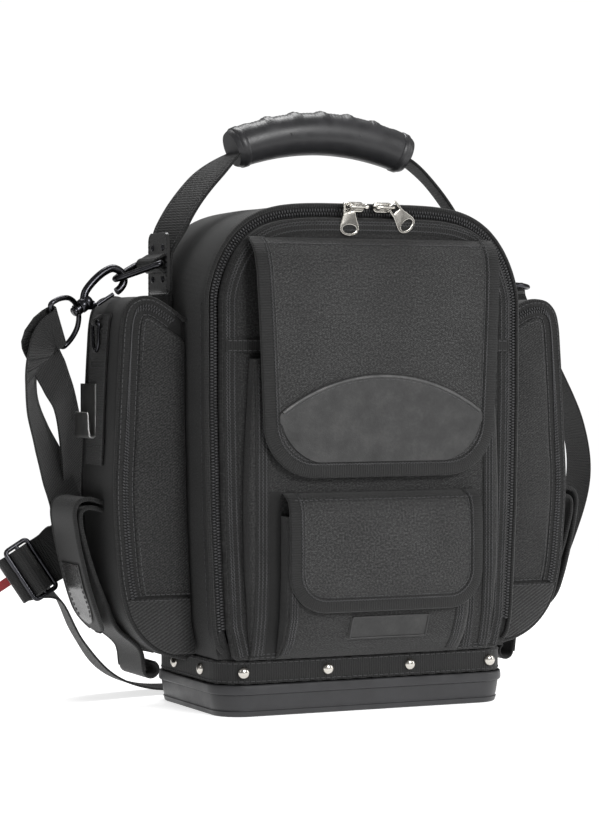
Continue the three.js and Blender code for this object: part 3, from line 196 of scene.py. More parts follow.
def band(places, thick, closed=False, edge=0.35):  # flat tape: places hold a point and a half-width vector
    places = np.asarray(places, float)
    at, half = places[:, :3], places[:, 3:6]
    before, after = np.roll(at, 1, 0), np.roll(at, -1, 0)
    if not closed:
        before[0], after[-1] = at[0], at[-1]
    lift = np.cross(after - before, half)
    lift /= np.maximum(np.linalg.norm(lift, axis=1), 1e-9)[:, None]
    width = np.linalg.norm(half, axis=1)[:, None]
    side = half / np.maximum(width, 1e-9)
    e, t = min(edge, thick * 0.45), thick / 2
    profile = [(-1, e, -t), (1, e, -t), (1, 0, -t + e), (1, 0, t - e), (1, e, t), (-1, e, t),
               (-1, 0, t - e), (-1, 0, -t + e)]
    rings = np.stack([at + side * (s * (width - cut)) + lift * up for s, cut, up in profile], axis=1)
    if closed:
        rings = np.concatenate([rings, rings[:1]])
    return loft(rings, capStart=not closed, capEnd=not closed)


def tube(line, radius, closed=False, sides=14):
    line = np.asarray(line, float)
    before, after = np.roll(line, 1, 0), np.roll(line, -1, 0)
    if not closed:
        before[0], after[-1] = line[0], line[-1]
    along = np.array([unit(d) for d in after - before])
    normal = np.cross(along[0], (0.3, 0.5, 0.8))
    rings = []
    for p, d in zip(line, along):
        normal = unit(normal - d * np.dot(normal, d))
        other = np.cross(d, normal)
        turns = np.arange(sides) / sides * 2 * math.pi
        rings.append([p + radius * (math.cos(a) * normal + math.sin(a) * other) for a in turns])
    if closed:  # the frame turns a little on its way round, so the last ring is matched to the first
        first, last = np.array(rings[0]), np.array(rings[-1])
        step = min(range(sides), key=lambda s: np.linalg.norm(np.roll(first, s, 0) - last, axis=1).sum())
        rings.append(np.roll(first, step, 0))
    return loft(rings, capStart=not closed, capEnd=not closed)


def turned(profile, origin, axis, sides=28):  # profile rows: radius, height along the axis
    axis = unit(axis)
    a = unit(np.cross(axis, (0.31, 0.2, 0.9)))
    b = np.cross(axis, a)
    rings = [[np.array(origin) + axis * h + max(r, 0.001) * (math.cos(t) * a + math.sin(t) * b)
              for t in np.arange(sides) / sides * 2 * math.pi] for r, h in profile]
    return capped(rings)


# Ground: a surface on which flat work is laid. It turns a flat place and a lift into a point


def onFront(depth):
    return lambda x, z, lift: np.array([x, depth(x, z) - lift, z])


def onSide(sign, reach):
    return lambda y, z, lift: np.array([sign * (reach(y, z) + lift), y, z])


# Cloth panel, rounded at its rim
def panelOn(ground, leftAt, rightAt, levels, thick, columns=36, edge=3.0, crown=0.0):
    low, high = min(levels), max(levels)
    front, back = [], []
    for z in levels:
        left, right = leftAt(z), rightAt(z)
        t = 0.5 - 0.5 * np.cos(np.linspace(0, math.pi, columns + 1))
        t = mix(np.linspace(0, 1, columns + 1), t, 0.6)
        row, under = [], []
        for s in t:
            x = mix(left, right, s)
            d = min(x - left, right - x, z - low, high - z)
            rim = math.sqrt(max(0, 1 - (1 - min(d / edge, 1)) ** 2))
            full = (4 * s * (1 - s)) ** 0.6 * max(0, 4 * (z - low) * (high - z) / (high - low) ** 2) ** 0.5
            row.append(ground(x, z, thick * rim + crown * full))
            under.append(ground(x, z, 0))
        front.append(row)
        back.append(under)
    return joined(loft(front, wrap=False), loft(back, wrap=False))


def tapeOn(ground, line, rows):  # binding that follows a flat line on a ground, from rows of inset and lift
    strips = [[ground(x, z, lift) for x, z in shrink(line, inset, False)] for inset, lift in rows]
    return capped(np.transpose(np.array(strips), (1, 0, 2)))


def bindingOn(ground, line, inset, width, rise):
    profile = [(0, -0.25), (0, 0.6 * rise), (0.12, rise), (0.5, 1.12 * rise), (0.88, rise), (1, 0.6 * rise),
               (1, -0.25)]
    return tapeOn(ground, line, [(inset + share * width, lift) for share, lift in profile])


def levelLine(z, *places):
    return np.array([(x, z) for x in np.linspace(*places)])


# Stitches are gathered as short threads, and grown into round thread at the end
threads = []


def stitchesOf(line, stitch, space):  # the start, middle and end of each stitch on a line
    count = max(2, int(lineLength(line) / (stitch + space)))
    ends = evenly(line, count * 2 + 1)
    for i in range(count):
        a, b = ends[2 * i], mix(ends[2 * i], ends[2 * i + 2], stitch / (stitch + space))
        yield a, (a + b) / 2, b


def sewRow(ground, line, inset=0, lift=0.2, stitch=2.6, space=1.1):
    for a, middle, b in stitchesOf(shrink(np.asarray(line), inset, False), stitch, space):
        threads.append([ground(*a, lift - 0.25), ground(*middle, lift), ground(*b, lift - 0.25)])


def sewZigzag(ground, line, inset, reach=1.6, lift=0.25, pitch=2.1):
    run = shrink(np.asarray(line), inset, False)
    places = evenly(run, max(2, int(lineLength(run) / pitch)))
    sway = [p + n * reach * (0.5 if i % 2 else -0.5) for i, (p, n) in enumerate(zip(places, sidesOf(places)))]
    for a, b in zip(sway[:-1], sway[1:]):
        threads.append([ground(*mix(a, b, 0.08), lift), ground(*mix(a, b, 0.92), lift)])


# Stitches on a line of points with their outward directions
def sewAlong(points, lifts, stitch=2.6, space=1.1):
    for marks in stitchesOf(np.column_stack([points, lifts]), stitch, space):
        threads.append([row[:3] + row[3:] * k for row, k in zip(marks, (0.0, 0.25, 0.0))])


# Node trees: each input of a node is a value or the output of another node


def node(tree, kind, sockets=(), **values):
    made = tree.nodes.new(kind)
    for key, value in values.items():
        setattr(made, key, value)
    for key, value in dict(sockets).items():
        if isinstance(value, bpy.types.NodeSocket):
            tree.links.new(value, made.inputs[key])
        else:
            made.inputs[key].default_value = value
    return made


def math2(tree, operation, a, b, clamp=False):
    return node(tree, "ShaderNodeMath", {0: a, 1: b}, operation=operation, use_clamp=clamp).outputs[0]


def plus(tree, a, b, weight, clamp=False):
    return math2(tree, "ADD", a, math2(tree, "MULTIPLY", b, weight), clamp)


# Geometry Nodes: what repeats


def newTree(name, inputs):
    tree = bpy.data.node_groups.new(name, "GeometryNodeTree")
    tree.interface.new_socket("Geometry", in_out="INPUT", socket_type="NodeSocketGeometry")
    for label, kind, value in inputs:
        socket = tree.interface.new_socket(label, in_out="INPUT", socket_type=kind)
        socket.default_value = value
    tree.interface.new_socket("Geometry", in_out="OUTPUT", socket_type="NodeSocketGeometry")
    return tree, tree.nodes.new("NodeGroupInput").outputs


def endTree(tree, geometry, material, smooth):  # made real, smoothed where asked, and given its material
    made = node(tree, "GeometryNodeRealizeInstances", {"Geometry": geometry})
    if smooth:
        made = node(tree, "GeometryNodeSetShadeSmooth", {"Geometry": made.outputs["Geometry"]})
    made = node(tree, "GeometryNodeSetMaterial", {"Geometry": made.outputs["Geometry"], "Material": material})
    node(tree, "NodeGroupOutput", {"Geometry": made.outputs["Geometry"]})
    return tree


def threadTree(material):
    tree, given = newTree("threads",
                          [("Thread radius", "NodeSocketFloat", 0.00036), ("Sides", "NodeSocketInt", 5)])
    curve = node(tree, "GeometryNodeMeshToCurve", {"Mesh": given["Geometry"]})
    ring = node(tree, "GeometryNodeCurvePrimitiveCircle",
                {"Radius": given["Thread radius"], "Resolution": given["Sides"]})
    sweep = node(tree, "GeometryNodeCurveToMesh", {"Curve": curve.outputs["Curve"],
                                                   "Profile Curve": ring.outputs["Curve"], "Fill Caps": True})
    return endTree(tree, sweep.outputs["Mesh"], material, False)


def scatterTree(name, material, size, ball):  # one small form on each point, turned by the point's attribute
    tree, given = newTree(name, [("Size", "NodeSocketVector", size), ("Seed", "NodeSocketInt", 7),
                                 ("Size wander", "NodeSocketFloat", 0.03)])
    if ball:
        form = node(tree, "GeometryNodeMeshUVSphere", {"Segments": 24, "Rings": 12, "Radius": 1.0})
        shape = node(tree, "GeometryNodeTransform",
                     {"Geometry": form.outputs["Mesh"], "Scale": given["Size"]})
    else:
        form = node(tree, "GeometryNodeMeshCube", {"Size": given["Size"]})
        shape = node(tree, "GeometryNodeSubdivisionSurface", {"Mesh": form.outputs["Mesh"], "Level": 1})
    turn = node(tree, "GeometryNodeInputNamedAttribute", {"Name": "turn"}, data_type="FLOAT_VECTOR")
    low, high = [math2(tree, change, 1.0, given["Size wander"]) for change in ("SUBTRACT", "ADD")]
    wander = node(tree, "FunctionNodeRandomValue", {2: low, 3: high, "Seed": given["Seed"]},
                  data_type="FLOAT")
    put = node(tree, "GeometryNodeInstanceOnPoints",
               {"Points": given["Geometry"], "Instance": shape.outputs[0],
                "Rotation": turn.outputs["Attribute"],
                "Scale": wander.outputs[1]})
    return endTree(tree, put.outputs["Instances"], material, True)


def grow(name, tree, points, slot, nodes=(), edges=(), turns=None, **values):
    seedMesh = bpy.data.meshes.new(name + "Seed")
    seedMesh.from_pydata([tuple(np.asarray(p) * mm) for p in points], edges, [])
    if turns is not None:
        attribute = seedMesh.attributes.new("turn", "FLOAT_VECTOR", "POINT")
        attribute.data.foreach_set("vector", np.asarray(turns, float).ravel())
    seed = bpy.data.objects.new(name + "Seed", seedMesh)
    bpy.context.collection.objects.link(seed)
    grower = seed.modifiers.new("grow", "NODES")
    grower.node_group = tree
    for item in tree.interface.items_tree:
        if item.item_type == "SOCKET" and item.in_out == "INPUT" and item.name in values:
            grower[item.identifier] = values[item.name]
    bpy.context.view_layer.update()
    result = bpy.data.meshes.new_from_object(seed.evaluated_get(bpy.context.evaluated_depsgraph_get()))
    bpy.data.objects.remove(seed)
    result.name = name
    obj = bpy.data.objects.new(name, result)
    bpy.context.collection.objects.link(obj)
    return settle(obj, slot, nodes)


def scatter(name, look, size, spots, slot, nodes=(), **values):  # spots: place and turn of each form
    tree = scatterTree(name + "Form", finish[look], size, ball="Seed" not in values)
    return grow(name, tree, [place for place, turn in spots], slot, nodes,
                turns=[turn for place, turn in spots], **values)


# Finishes


def newFinish(name, rough, metal=0.0, sheen=0.0, coat=0.0):
    material = bpy.data.materials.new(name)
    material.use_nodes = True
    tree = material.node_tree
    shader = tree.nodes["Principled BSDF"]
    values = {"Roughness": rough, "Metallic": metal}
    if sheen:
        values.update({"Sheen Weight": sheen, "Sheen Roughness": 0.45})
    if coat:
        values.update({"Coat Weight": coat, "Coat Roughness": 0.25})
    for key, value in values.items():
        shader.inputs[key].default_value = value
    return material, tree, shader


def mapped(tree, source, **change):
    sockets = {"Vector": source, **{key.title(): value for key, value in change.items()}}
    return node(tree, "ShaderNodeMapping", sockets).outputs["Vector"]


def wave(tree, source, period, angle=0.0, distort=0.0, detail=0.0):
    turned = mapped(tree, source, rotation=(0, 0, math.radians(angle)))
    sockets = {"Vector": turned, "Scale": 0.31416 / period, "Distortion": distort, "Detail": detail,
               "Detail Scale": 0.6}
    return node(tree, "ShaderNodeTexWave", sockets, wave_type="BANDS", bands_direction="X",
                wave_profile="SIN").outputs["Fac"]


def speckle(tree, source, size, detail, rough):
    sockets = {"Vector": source, "Scale": 1 / size, "Detail": detail, "Roughness": rough}
    return node(tree, "ShaderNodeTexNoise", sockets).outputs["Fac"]


def ramp(tree, source, rows):
    made = node(tree, "ShaderNodeValToRGB", {"Fac": source})
    elements = made.color_ramp.elements
    while len(elements) < len(rows):
        elements.new(0.5)
    for element, (place, colour) in zip(elements, rows):
        element.position = place
        element.color = (*colour, 1)
    return made.outputs["Color"]


def bump(tree, shader, height, distance, strength):
    made = node(tree, "ShaderNodeBump", {"Distance": distance * mm, "Strength": strength, "Height": height})
    tree.links.new(made.outputs["Normal"], shader.inputs["Normal"])


def grey(level, warm=0.0):
    return (level * (1 + warm), level, level * (1 - warm))

# Woven cloth. The cloth coordinates are millimetres along and across each panel
clothLooks = {
    "plainNylon": dict(dark=0.004, light=0.034, thread=0.95, twill=0, rib=0, rough=0.72, fleck=0.9,
                       depth=0.10),
    "panelNylon": dict(dark=0.005, light=0.046, thread=1.0, twill=0, rib=0, rough=0.78, fleck=0.95,
                       depth=0.10),
    "flapCloth": dict(dark=0.005, light=0.064, thread=0.9, twill=1.3, rib=0, rough=0.7, fleck=1.0,
                      depth=0.12),
    "pocketTwill": dict(dark=0.004, light=0.052, thread=0.9, twill=1.5, rib=0, rough=0.75, fleck=0.9,
                        depth=0.16),
    "boldTwill": dict(dark=0.006, light=0.060, thread=1.0, twill=2.3, rib=0, rough=0.72, fleck=0.4,
                      depth=0.25, bold=1.1),
    "sideTwill": dict(dark=0.003, light=0.046, thread=1.0, twill=1.7, rib=0, rough=0.72, fleck=1.0,
                      depth=0.2),
    "sideNylon": dict(dark=0.003, light=0.014, thread=0.95, twill=0, rib=0, rough=0.7, fleck=0.5,
                      depth=0.09),
    "sheathNylon": dict(dark=0.004, light=0.022, thread=0.9, twill=0, rib=0, rough=0.62, fleck=0.45,
                        depth=0.08),
    "blackTape": dict(dark=0.004, light=0.021, thread=0.8, twill=0, rib=1.9, rough=0.68, fleck=0.35,
                      depth=0.22),
    "strapTape": dict(dark=0.003, light=0.015, thread=0.9, twill=1.5, rib=2.4, rough=0.66, fleck=0.4,
                      depth=0.22),
    "zipTape": dict(dark=0.005, light=0.024, thread=0.9, twill=0, rib=1.4, rough=0.8, fleck=0.4,
                    depth=0.12),
}


def clothFinish(name, look):
    material, tree, shader = newFinish(name, look["rough"], sheen=0.12)
    shader.inputs["Specular IOR Level"].default_value = 0.35
    source = node(tree, "ShaderNodeUVMap", uv_map="cloth").outputs["UV"]
    warp, weft = wave(tree, source, look["thread"]), wave(tree, source, look["thread"], 90)
    weave = plus(tree, math2(tree, "MULTIPLY", warp, weft), math2(tree, "MAXIMUM", warp, weft), 0.5)
    height = weave
    if look["twill"]:
        line = wave(tree, source, look["twill"], 58, distort=0.5, detail=1.0)
        height = plus(tree, math2(tree, "MULTIPLY", line, look.get("bold", 0.8)), weave, 0.7)
    if look["rib"]:
        height = plus(tree, height, wave(tree, source, look["rib"], 90), 1.1)
    fleck, cloud = speckle(tree, source, 1.4, 4, 0.8), speckle(tree, source, 46, 3, 0.6)
    tone = math2(tree, "MULTIPLY", height, 0.42)
    tone = plus(tree, tone, math2(tree, "SUBTRACT", fleck, 0.5), look["fleck"] * 5.4)
    tone = plus(tree, tone, math2(tree, "SUBTRACT", cloud, 0.5), 0.5, clamp=True)
    dark, light = look["dark"], look["light"]
    colour = ramp(tree, tone, [(0.05, grey(dark)), (0.55, grey(mix(dark, light, 0.45))), (1.0, grey(light))])
    tree.links.new(colour, shader.inputs["Base Color"])
    bump(tree, shader, plus(tree, height, fleck, 0.6), look["depth"], 0.9)
    return material


finish = {name: clothFinish(name, look) for name, look in clothLooks.items()}


def leatherFinish(name, level, rough, grain):
    material, tree, shader = newFinish(name, rough, coat=0.06)
    source = node(tree, "ShaderNodeUVMap", uv_map="cloth").outputs["UV"]
    cells = node(tree, "ShaderNodeTexVoronoi", {"Vector": source, "Scale": 1 / grain},
                 feature="DISTANCE_TO_EDGE")
    fine, cloud = speckle(tree, source, 2.2, 5, 0.65), speckle(tree, source, 22, 4, 0.62)
    tone = plus(tree, math2(tree, "MULTIPLY", cloud, 0.9), fine, 0.35)
    colour = ramp(tree, tone, [(0.35, grey(level * 0.45)), (0.62, grey(level)),
                               (0.85, grey(level * 1.9, 0.02))])
    tree.links.new(colour, shader.inputs["Base Color"])
    gloss = ramp(tree, cloud, [(0.3, grey(rough * 1.2)), (0.7, grey(rough * 0.75))])
    tree.links.new(gloss, shader.inputs["Roughness"])
    bump(tree, shader, plus(tree, fine, cells.outputs["Distance"], 1.2), 0.18, 0.6)
    return material


finish["leather"] = leatherFinish("patchLeather", 0.021, 0.55, 1.6)
finish["glossLeather"] = leatherFinish("glossLeather", 0.022, 0.26, 2.4)
finish["labelLeather"] = leatherFinish("labelLeather", 0.014, 0.42, 3.0)
finish["rimLeather"] = leatherFinish("rimLeather", 0.060, 0.5, 1.6)


def solidFinish(name, colour, rough, metal=0.0, grain=2.0, spread=0.25, depth=0.03, scratch=0.0):
    material, tree, shader = newFinish(name, rough, metal)
    source = mapped(tree, node(tree, "ShaderNodeTexCoord").outputs["Object"], scale=(1000, 1000, 1000))
    fine, cloud = speckle(tree, source, grain, 4, 0.6), speckle(tree, source, grain * 14, 4, 0.6)
    low, high = [tuple(min(1, c * change) for c in colour) for change in (1 - spread, 1 + spread)]
    tree.links.new(ramp(tree, cloud, [(0.35, low), (0.65, high)]), shader.inputs["Base Color"])
    worn = plus(tree, math2(tree, "MULTIPLY", cloud, 0.6), fine, 0.4)
    if scratch:
        lines = speckle(tree, mapped(tree, source, scale=(0.12, 1, 2.6)), grain * 6, 6, 0.8)
        worn = plus(tree, worn, lines, scratch)
    gloss = ramp(tree, worn, [(0.3, grey(rough * 0.7)), (0.75, grey(min(1, rough * 1.35)))])
    tree.links.new(gloss, shader.inputs["Roughness"])
    bump(tree, shader, fine, depth, 0.5)
    return material


finish["plastic"] = solidFinish("mouldedPlastic", (0.021, 0.021, 0.023), 0.42, 0, 0.9, 0.15, 0.05)
finish["gripRubber"] = solidFinish("gripRubber", (0.027, 0.027, 0.029), 0.40, 0, 0.8, 0.15, 0.05)
finish["nickel"] = solidFinish("brightNickel", (0.60, 0.575, 0.53), 0.20, 1, 1.2, 0.06, 0.01, 0.2)
finish["steel"] = solidFinish("clipSteel", (0.55, 0.55, 0.54), 0.30, 1, 1.0, 0.12, 0.02, 0.5)
finish["blackNickel"] = solidFinish("blackNickel", (0.045, 0.045, 0.050), 0.24, 1, 1.4, 0.3, 0.01, 0.2)
finish["toothResin"] = solidFinish("toothResin", (0.035, 0.035, 0.037), 0.38, 0, 1.0, 0.2, 0.01)
finish["thread"] = solidFinish("sewingThread", (0.048, 0.048, 0.050), 0.6, 0, 0.7, 0.35, 0.02)
finish["redTape"] = solidFinish("redTape", (0.20, 0.012, 0.016), 0.75, 0, 0.8, 0.3, 0.06)
slots = dict(
    nylon=("plainNylon", "panelNylon", "flapCloth", "sideNylon", "sheathNylon"),
    twill=("pocketTwill", "boldTwill", "sideTwill"), webbing=("blackTape", "strapTape", "zipTape"),
    leather=("leather", "glossLeather", "labelLeather", "rimLeather"), plastic=("plastic", "gripRubber"),
    nickel=("nickel", "steel"), black_nickel=("blackNickel",), red_cloth=("redTape",),
)
slotOf = {look: slot for slot, looks in slots.items() for look in looks}
print("finishes ready")

# Base tray, its woven strip and the rivets
tray = dict(width=246, depth=142, height=24, corner=26, taper=4, wall=3, floor=3.5)
trayProfile = [(0, 1.34), (0.03, 1.12), (0.17, 0.86), (0.19, 1.0), (0.225, 1.02), (0.25, 0.94),
               (0.66, 0.53), (0.69, 0.56), (0.71, 0.16), (0.74, 0.03), (0.79, 0.0), (0.92, 0.0),
               (0.975, 0.05), (1, 0.18)]
halfTray, halfDepth = tray["width"] / 2, tray["depth"] / 2


def roundedRing(halfX, halfY, corner, z, steps=12):
    ring = []
    for quarter, (sx, sy) in enumerate(((1, 1), (-1, 1), (-1, -1), (1, -1))):
        for i in range(steps + 1):
            a = (quarter + i / steps) * math.pi / 2
            ring.append((sx * (halfX - corner) + corner * math.cos(a),
                         sy * (halfY - corner) + corner * math.sin(a), z))
    return ring


def trayRing(inset, z):
    return roundedRing(halfTray - inset, halfDepth - inset, tray["corner"] - inset, z)


rings = [trayRing(tray["wall"] + tray["taper"], tray["floor"]), trayRing(tray["wall"], 22),
         trayRing(tray["wall"] * 0.7, 24)]
rings += [trayRing(share * tray["taper"], level * tray["height"]) for level, share in reversed(trayProfile)]
piece("baseTray", capped(rings), "plastic", ["base_tray"], sharp=30)

strip = dict(low=24.3, high=42.3, inset=3, thick=2.0, wave=0.35, waves=0.9, stitched=(2.2, 2.4), lift=1.15)
corner = tray["corner"] - strip["inset"]
ring = roundedRing(halfTray - strip["inset"], halfDepth - strip["inset"], corner, 0)
ring = evenly(np.array(ring + ring[:1]), 420)[:-1]
middle = (strip["low"] + strip["high"]) / 2
half = (strip["high"] - strip["low"]) / 2
places = [(x, y, middle + strip["wave"] * math.sin(i * strip["waves"]), 0, 0, half - strip["wave"]) for i,
          (x, y, z) in enumerate(ring)]
piece("baseStrip", band(places, strip["thick"], closed=True, edge=0.6), "blackTape", ["base_strip"])
straightX, straightY = halfTray - tray["corner"], halfDepth - tray["corner"]
out = np.array([unit((x - np.clip(x, -straightX, straightX), y - np.clip(y, -straightY, straightY), 0))
                for x, y, z in ring])
for level in (strip["high"] - strip["stitched"][0], strip["low"] + strip["stitched"][1]):
    line = ring * (1, 1, 0) + out * strip["lift"] + (0, 0, level)
    sewAlong(np.vstack([line, line[:1]]), np.vstack([out, out[:1]]), 3.0, 1.4)

rivet = dict(size=(0.0046, 0.0046, 0.0031), sunk=1.7, across=(-0.84, -0.28, 0.28, 0.84), along=(-0.42, 0.3))
spots = [((share * halfTray, way * (halfDepth - rivet["sunk"]), middle), (-way * math.pi / 2, 0, 0))
         for way in (-1, 1) for share in rivet["across"]]
spots += [((way * (halfTray - rivet["sunk"]), share * halfDepth, middle), (0, way * math.pi / 2, 0))
          for way in (-1, 1) for share in rivet["along"]]
still = {"Size wander": 0.0}
scatter("stripRivets", "nickel", rivet["size"], spots, "nickel",
        [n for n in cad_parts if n.startswith("rivet_")], **still)
print("base ready")

# Main compartment: an arch run from front to back
body = dict(bottom=42.6, crown=381.6, spring=309.4, front=-62, back=68, swell=8.5, round=20, cloth=2.4)
bodyRows = [(0, -0.3), (0.07, 0.35), (0.32, 0.82), (0.57, 1), (1, 1)]
archPowers = dict(across=4.85, up=1.5)


def bodyHalf(z):
    level = (z - body["bottom"]) / (body["crown"] - body["bottom"])
    return halfTray + body["swell"] * lookUp(bodyRows, level)


def archLine(low=body["bottom"], sideSteps=26, archSteps=34):
    side = [(bodyHalf(z), z) for z in np.linspace(low, body["spring"], sideSteps)]
    top = []
    for t in np.linspace(0, math.pi / 2, archSteps)[1:]:
        c, s = max(math.cos(t), 0), math.sin(t)
        top.append((bodyHalf(body["spring"]) * c ** (2 / archPowers["across"]),
                    mix(body["spring"], body["crown"], s ** (2 / archPowers["up"]))))
    top = evenly(np.array([side[-1]] + top), archSteps)[1:]
    right = np.vstack([side, top])
    left = right[:-1][::-1] * (-1, 1)
    across = np.linspace(left[-1, 0], right[0, 0], 40)[1:-1]
    return np.vstack([right, left, np.column_stack([across, np.full(38, low)])])


arch = archLine()


def standing(line, y, sign=1):  # a flat line stood up at its place from front to back
    return np.column_stack([line[:, 0] * sign, np.full(len(line), y), line[:, 1]])


def upright(line, rows):  # rings of a flat line, from rows of place and inset
    return [standing(insetLine(line, inset), y) for y, inset in rows]


def planar(part, axes):
    points, faces, uvs = part
    return points, faces, [[tuple(points[i][list(axes)]) for i in face] for face in faces]


def rounding(y, inset, radius, turn, steps):  # quarter round from the side to a face, at growing inset
    return [(y - turn * radius * (1 - math.sin(a)), inset + radius * (1 - math.cos(a)))
            for a in np.linspace(0, math.pi / 2, steps)]


front, back, cloth = body["front"], body["back"], body["cloth"]
rows = [(back - cloth, 24), (back - cloth - 5, 9), (back - 22, cloth), (front + cloth, cloth),
        (front + cloth, 9.8), (front, 9.8)]
rows += [(front, 2.2), (front + 0.4, 0.9), (front + 1.2, 0.2), (front + 2.2, 0)]
rows += [(y, 0) for y in np.linspace(front + 12, back - 28, 9)]
rows += rounding(back, 0, body["round"], 1, 9) + [(back, 34)]
piece("mainCompartment", capped(upright(arch, rows)), "plainNylon", soft=1.1, softSize=34)
foot = []
for z, extra in ((3.9, 5.2), (24, 4.6), (44, 4.6)):
    taper = tray["taper"] * max(0, 1 - z / tray["height"])
    foot.append(roundedRing(halfTray - extra - taper, halfDepth - extra - taper,
                            tray["corner"] - extra - taper, z, 6))
piece("mainCompartmentFoot", capped(foot), "plainNylon", ["body_shell"])

for sign in (-1, 1):  # stitches down each side behind the front edge
    sewRow(onSide(sign, lambda y, z: bodyHalf(z)), [(-55, 60), (-55, 180), (-55, 309)], 0, 0.3, 2.8, 1.6)
weltLine = insetLine(arch, 1.0)
weltLine = weltLine[weltLine[:, 1] > 46]
piece("frontWelt", tube(evenly(standing(weltLine, front - 0.9), 260), 1.7, sides=10), "blackTape")
backLine = standing(insetLine(arch, 20), back + 0.2)
piece("backPiping", tube(evenly(np.vstack([backLine, backLine[:1]]), 220)[:-1], 1.5, closed=True, sides=8),
      "blackTape")
backRim = insetLine(arch, 23)
onBack = lambda x, z, lift: np.array([x, back + lift, z])
backHalf = lambda z: min(bodyHalf(z) - 23, max(4, float(np.interp(z, backRim[26:60, 1], backRim[26:60, 0]))))
levels = np.linspace(70, 350, 40)
piece("backPanel", panelOn(onBack, lambda z: -backHalf(z), backHalf, levels, 2.2, 30, 5, 3.2), "panelNylon")
for z in (128, 186, 244, 302):
    sewRow(onBack, [(-backHalf(z) + 4, z), (0, z), (backHalf(z) - 4, z)], 0, 4.6, 3.2, 1.6)

# Front panel inside the zip, and its bound edge
panel = dict(front=-71.1, inset=10.4, round=3.0, tapeWidth=10.0)
face = panel["front"]
rows = [(front - 0.3, panel["inset"]), (face + 3.2, panel["inset"])]
rows += rounding(face, panel["inset"], panel["round"], -1, 5) + [(face, 20), (face, 32)]
archLow = archLine(body["bottom"] - panel["inset"])
piece("frontPanel", planar(capped(upright(archLow, rows)), (0, 2)), "panelNylon", ["front_panel"])
onPanel = onFront(lambda x, z: face)
inner = insetLine(archLow, panel["inset"] + 0.8)
inner = inner[inner[:, 1] > 44.5]
piece("panelBinding", bindingOn(onPanel, inner, 0.6, panel["tapeWidth"], 0.85), "blackTape")
for inset in (2.4, 4.4, 8.4):
    sewZigzag(onPanel, inner, inset, 1.3, 1.0, 1.35)

# Main zip: a tape with its chain, two sliders with their pulls
zipLook = dict(inset=6.2, start=64.6, width=7.8, pitch=2.25, tooth=(0.0040, 0.0019, 0.00165), reach=1.35,
               plane=-64.35)
zipLine = insetLine(arch, zipLook["inset"])
zipLine = zipLine[zipLine[:, 1] > zipLook["start"]]


def teeth(name, run, sides, sign, look, seed):  # teeth that lean to either side in turn
    spots = []
    for i, (p, n) in enumerate(zip(run, sides)):
        x, z = p + n * look["reach"] * (1 if i % 2 else -1)
        spots.append(((x * sign, look["plane"], z), (0, math.atan2(-n[1], n[0] * sign), 0)))
    scatter(name, "toothResin", look["tooth"], spots, "webbing", Seed=seed)


run = evenly(zipLine, int(lineLength(zipLine) / (zipLook["pitch"] / 2)))
sides = sidesOf(run)
teeth("mainZipChain", run, sides, 1, zipLook, 3)
tape = [(p[0], front - 0.95, p[1], *(unit((n[0], 0, n[1])) * zipLook["width"] / 2))
        for p, n in zip(evenly(run, 200), evenly(sides, 200))]
piece("mainZipTape", band(tape, 1.3), "zipTape", ["main_zip"])

slider = dict(length=16, width=7.8, back=-64.8, level=379.4, reach=6.8, round=3.2, knob=-73.4, lip=-68.3)
pull = dict(length=22, wide=16, narrow=9.6, thick=1.6, plane=-72.2, side=1.6, bar=1.2)
# The slider's bridge: distance from its middle, and place from front to back
bridgeRows = [(-6.8, -66.5), (-6.8, -72.6), (-5.9, -74.2), (-4.2, -74.5)]
bridgeRows += [(0, -74.6)] + [(-x, y) for x, y in bridgeRows[::-1]]
knobRows = [(0.2, 2.2), (1.2, 2.0), (2.1, 1.0), (2.35, 0), (2.1, -1.0), (1.2, -2.0), (0.2, -2.2)]


def cutPlate(outline, holes, thick, rim):  # plate in local X and Y with round rims
    curve = bpy.data.curves.new("plate", "CURVE")
    curve.dimensions, curve.fill_mode = "2D", "BOTH"
    curve.extrude, curve.bevel_depth, curve.bevel_resolution = (thick / 2 - rim) * mm, rim * mm, 2
    curve.offset = -rim * mm
    for line in [outline, *holes]:
        run = curve.splines.new("POLY")
        run.points.add(len(line) - 1)
        run.points.foreach_set("co", np.array([(x * mm, y * mm, 0, 1) for x, y in line]).ravel())
        run.use_cyclic_u = True
    obj = bpy.data.objects.new("plate", curve)
    bpy.context.collection.objects.link(obj)
    mesh = bpy.data.meshes.new_from_object(obj)
    bpy.data.objects.remove(obj)
    points = np.array([tuple(v.co / mm) for v in mesh.vertices])
    faces = [tuple(p.vertices) for p in mesh.polygons]
    return points, faces, [[tuple(points[i][:2]) for i in f] for f in faces]


def moved(part, matrix):
    points, faces, uvs = part
    return np.array([tuple(matrix @ Vector(p)) for p in points]), faces, uvs


def oval(cx, cy, rx, ry, start=0, end=360, count=28):
    turns = np.radians(np.linspace(start, end, count, endpoint=end - start < 360))
    return [(cx + rx * math.cos(a), cy + ry * math.sin(a)) for a in turns]


def roundBox(halfX, halfY, corner, steps=5):
    return [(x, y) for x, y, z in roundedRing(halfX, halfY, corner, 0, steps)]


def frontPlate(outline, holes, thick, rim, x, y, swing=0):  # plate that faces the front, hung at a place
    upFront = Matrix.Rotation(math.radians(swing), 4, "Y") @ Matrix.Rotation(math.radians(90), 4, "X")
    return moved(cutPlate(outline, holes, thick, rim), Matrix.Translation((x, y, slider["level"])) @ upFront)


